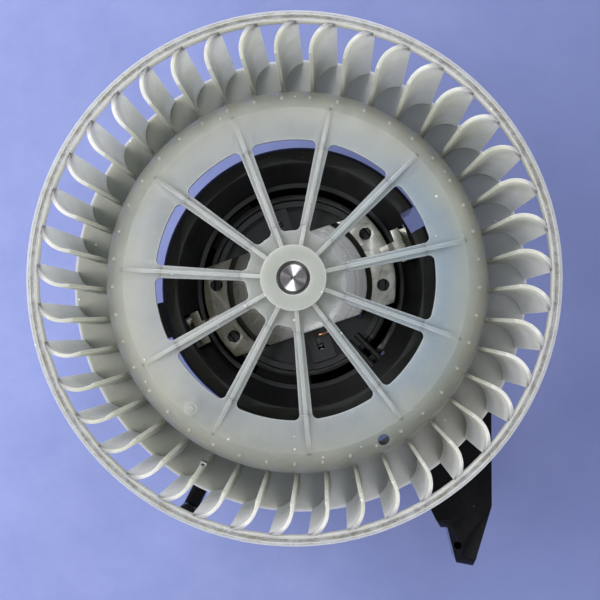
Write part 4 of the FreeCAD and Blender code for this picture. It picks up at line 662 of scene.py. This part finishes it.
SLOT_OF = {entry["node"]: entry["material_slot"] for entry in record["subparts"]}
for node_name, slot_name in SLOT_OF.items():
    mesh = nodes[node_name].data
    mesh.materials.clear()
    mesh.materials.append(FINISHES[slot_name])

# ---------------------------------------------------------------- moulded and stamped edges

# Node: the body that it rides, and the width of its rounds in metres
SOFT_EDGES = {
    "fan_blades": ("rotor", 0.00020),
    "wheel_plate": ("rotor", 0.00030),
    "wheel_spokes": ("rotor", 0.00025),
    "wheel_hub": ("rotor", 0.00120),
    "inlet_ring": ("rotor", 0.00015),
    "motor_holder": ("motor", 0.00040),
    "connector_arm": ("motor", 0.00060),
    "mounting_leg": ("motor", 0.00050),
    "connector_housing": ("motor", 0.00030),
    "bearing_bridge": ("motor", 0.00030),
    "spring_clip_right": ("motor", 0.00015),
    "spring_clip_left": ("motor", 0.00015),
    "yoke_can": ("motor", 0.00040),
}
LARGE_ROUND = 0.001                     # a round this wide or wider has more segments
MERGE_WITHIN = 0.000005                 # corners closer than this become one
FLAT_WITHIN = math.radians(0.6)         # faces that meet flatter than this become one
SHARP_FROM = math.radians(32)           # an edge sharper than this is rounded
SMOOTH_UP_TO = math.radians(34)         # an edge flatter than this is shaded smooth


def copied(node_name):
    """A copy of a node's mesh that stands for the node."""
    piece = bpy.data.objects.new(node_name + "_finished", nodes[node_name].data.copy())
    bpy.context.scene.collection.objects.link(piece)
    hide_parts(node_name)
    return piece


def soften(node_name, body, width):
    """A copy of a node, merged and given small rounds on its sharp edges."""
    piece = copied(node_name)
    bpy.ops.object.select_all(action="DESELECT")
    piece.select_set(True)
    bpy.context.view_layer.objects.active = piece
    bpy.ops.object.mode_set(mode="EDIT")
    bpy.ops.mesh.select_all(action="SELECT")
    bpy.ops.mesh.customdata_custom_splitnormals_clear()
    bpy.ops.mesh.remove_doubles(threshold=MERGE_WITHIN)
    bpy.ops.mesh.dissolve_limited(angle_limit=FLAT_WITHIN)
    bpy.ops.object.mode_set(mode="OBJECT")
    rounds = piece.modifiers.new("rounds", "BEVEL")
    rounds.width = width
    rounds.segments = 2 if width < LARGE_ROUND else 4
    rounds.limit_method = "ANGLE"
    rounds.angle_limit = SHARP_FROM
    bpy.ops.object.modifier_apply(modifier="rounds")
    bpy.ops.object.shade_smooth_by_angle(angle=SMOOTH_UP_TO)
    piece.select_set(False)
    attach(piece, body)


for node_name, (body, width) in SOFT_EDGES.items():
    soften(node_name, body, width)

# ---------------------------------------------------------------- springs and braids of the brushes


def follow_brush(joint):
    """Copies of a brush's spring and braid: the spring rides the joint's parent body, the braid
    stays fixed where it stands.
    """
    spring_name, braid_name = [part["node"] for part in joint["deforming_nodes"]]
    spring = copied(spring_name)
    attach(spring, joint["parent"])
    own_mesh(spring)
    braid = copied(braid_name)
    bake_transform(braid)


for joint in record["behaviour"]["joints"]:
    if joint["name"].startswith("brush_slide"):
        follow_brush(joint)

# ---------------------------------------------------------------- floor, light and camera

FLOOR_SIZE = 8.0
FLOOR_CLOUD_SCALE = 30.0
FLOOR_PAINTED_SHADE_SIDE = (-0.06, 0.20)              # places along X between which painted shade darkens the floor
PAINTED_FLOOR_SHADE = (0.12, 0.145, 0.315, 1)
ROOM_COLOUR = (0.92, 0.95, 1.0, 1)
ROOM_STRENGTH = 0.55


def make_floor():
    """A plain pale floor, with painted shade that darkens it a little towards one side."""
    bpy.ops.mesh.primitive_plane_add(size=FLOOR_SIZE, location=(0, 0, 0))
    floor = bpy.context.object
    floor.name = "floor"
    material, tree, shader = new_finish("pale_floor", Roughness=0.9, Specular_IOR_Level=0.1)
    where = place(tree)
    clouds = noise(tree, where, FLOOR_CLOUD_SCALE, detail=9.0, roughness=0.7)
    colour = tint(tree, stretched(tree, clouds, 0.2), *PALE_FLOOR)
    # Painted shade: the floor darkens towards +X, as if lit from -X
    floor_painted_shade = span(tree, component(tree, where, "X"), *FLOOR_PAINTED_SHADE_SIDE)
    tree.links.new(tint(tree, floor_painted_shade, colour, PAINTED_FLOOR_SHADE), shader["Base Color"])
    floor.data.materials.append(material)
    floor.select_set(False)


def make_world():
    """An even, slightly cool light from all round."""
    world = bpy.data.worlds.new("soft_room")
    bpy.context.scene.world = world
    world.use_nodes = True
    background = world.node_tree.nodes["Background"]
    background.inputs["Color"].default_value = ROOM_COLOUR
    background.inputs["Strength"].default_value = ROOM_STRENGTH


def make_softbox(name, stand, aim, width, height, watts):
    """A rectangular lamp that faces its aim."""
    lamp = bpy.data.lights.new(name, "AREA")
    lamp.shape = "RECTANGLE"
    lamp.size, lamp.size_y = width, height
    lamp.energy = watts
    box = bpy.data.objects.new(name, lamp)
    box.location = stand
    box.rotation_euler = (Vector(aim) - Vector(stand)).to_track_quat("-Z", "Y").to_euler()
    bpy.context.scene.collection.objects.link(box)


def make_camera(eye, target, upright, lens):
    """The scene's camera, with a lens in millimetres."""
    lens_data = bpy.data.cameras.new("camera")
    lens_data.lens = lens
    lens_data.clip_start = 0.01
    camera = bpy.data.objects.new("camera", lens_data)
    camera.location = eye
    back = (Vector(eye) - Vector(target)).normalized()
    right = Vector(upright).cross(back).normalized()
    turned = Matrix((right, back.cross(right), back)).transposed()
    camera.rotation_euler = turned.to_euler()
    bpy.context.scene.collection.objects.link(camera)
    bpy.context.scene.camera = camera


make_floor()
make_world()
make_softbox("key_softbox", stand=(-0.47, 0.06, 0.72), aim=(-0.02, 0, 0.08),
             width=0.50, height=0.40, watts=4.1)
make_softbox("back_softbox", stand=(0.12, 0.60, 0.70), aim=(0, 0, 0.10),
             width=0.24, height=0.24, watts=2.5)
make_softbox("fill_softbox", stand=(0.28, -0.68, 0.80), aim=(0, 0, 0.08),
             width=0.7, height=0.5, watts=3.2)
make_camera(eye=(0.0135, -0.0155, 0.448), target=(0.0015, -0.006, 0.10), upright=(0, 1, 0),
            lens=71.0)
bpy.context.scene.view_settings.view_transform = "Standard"
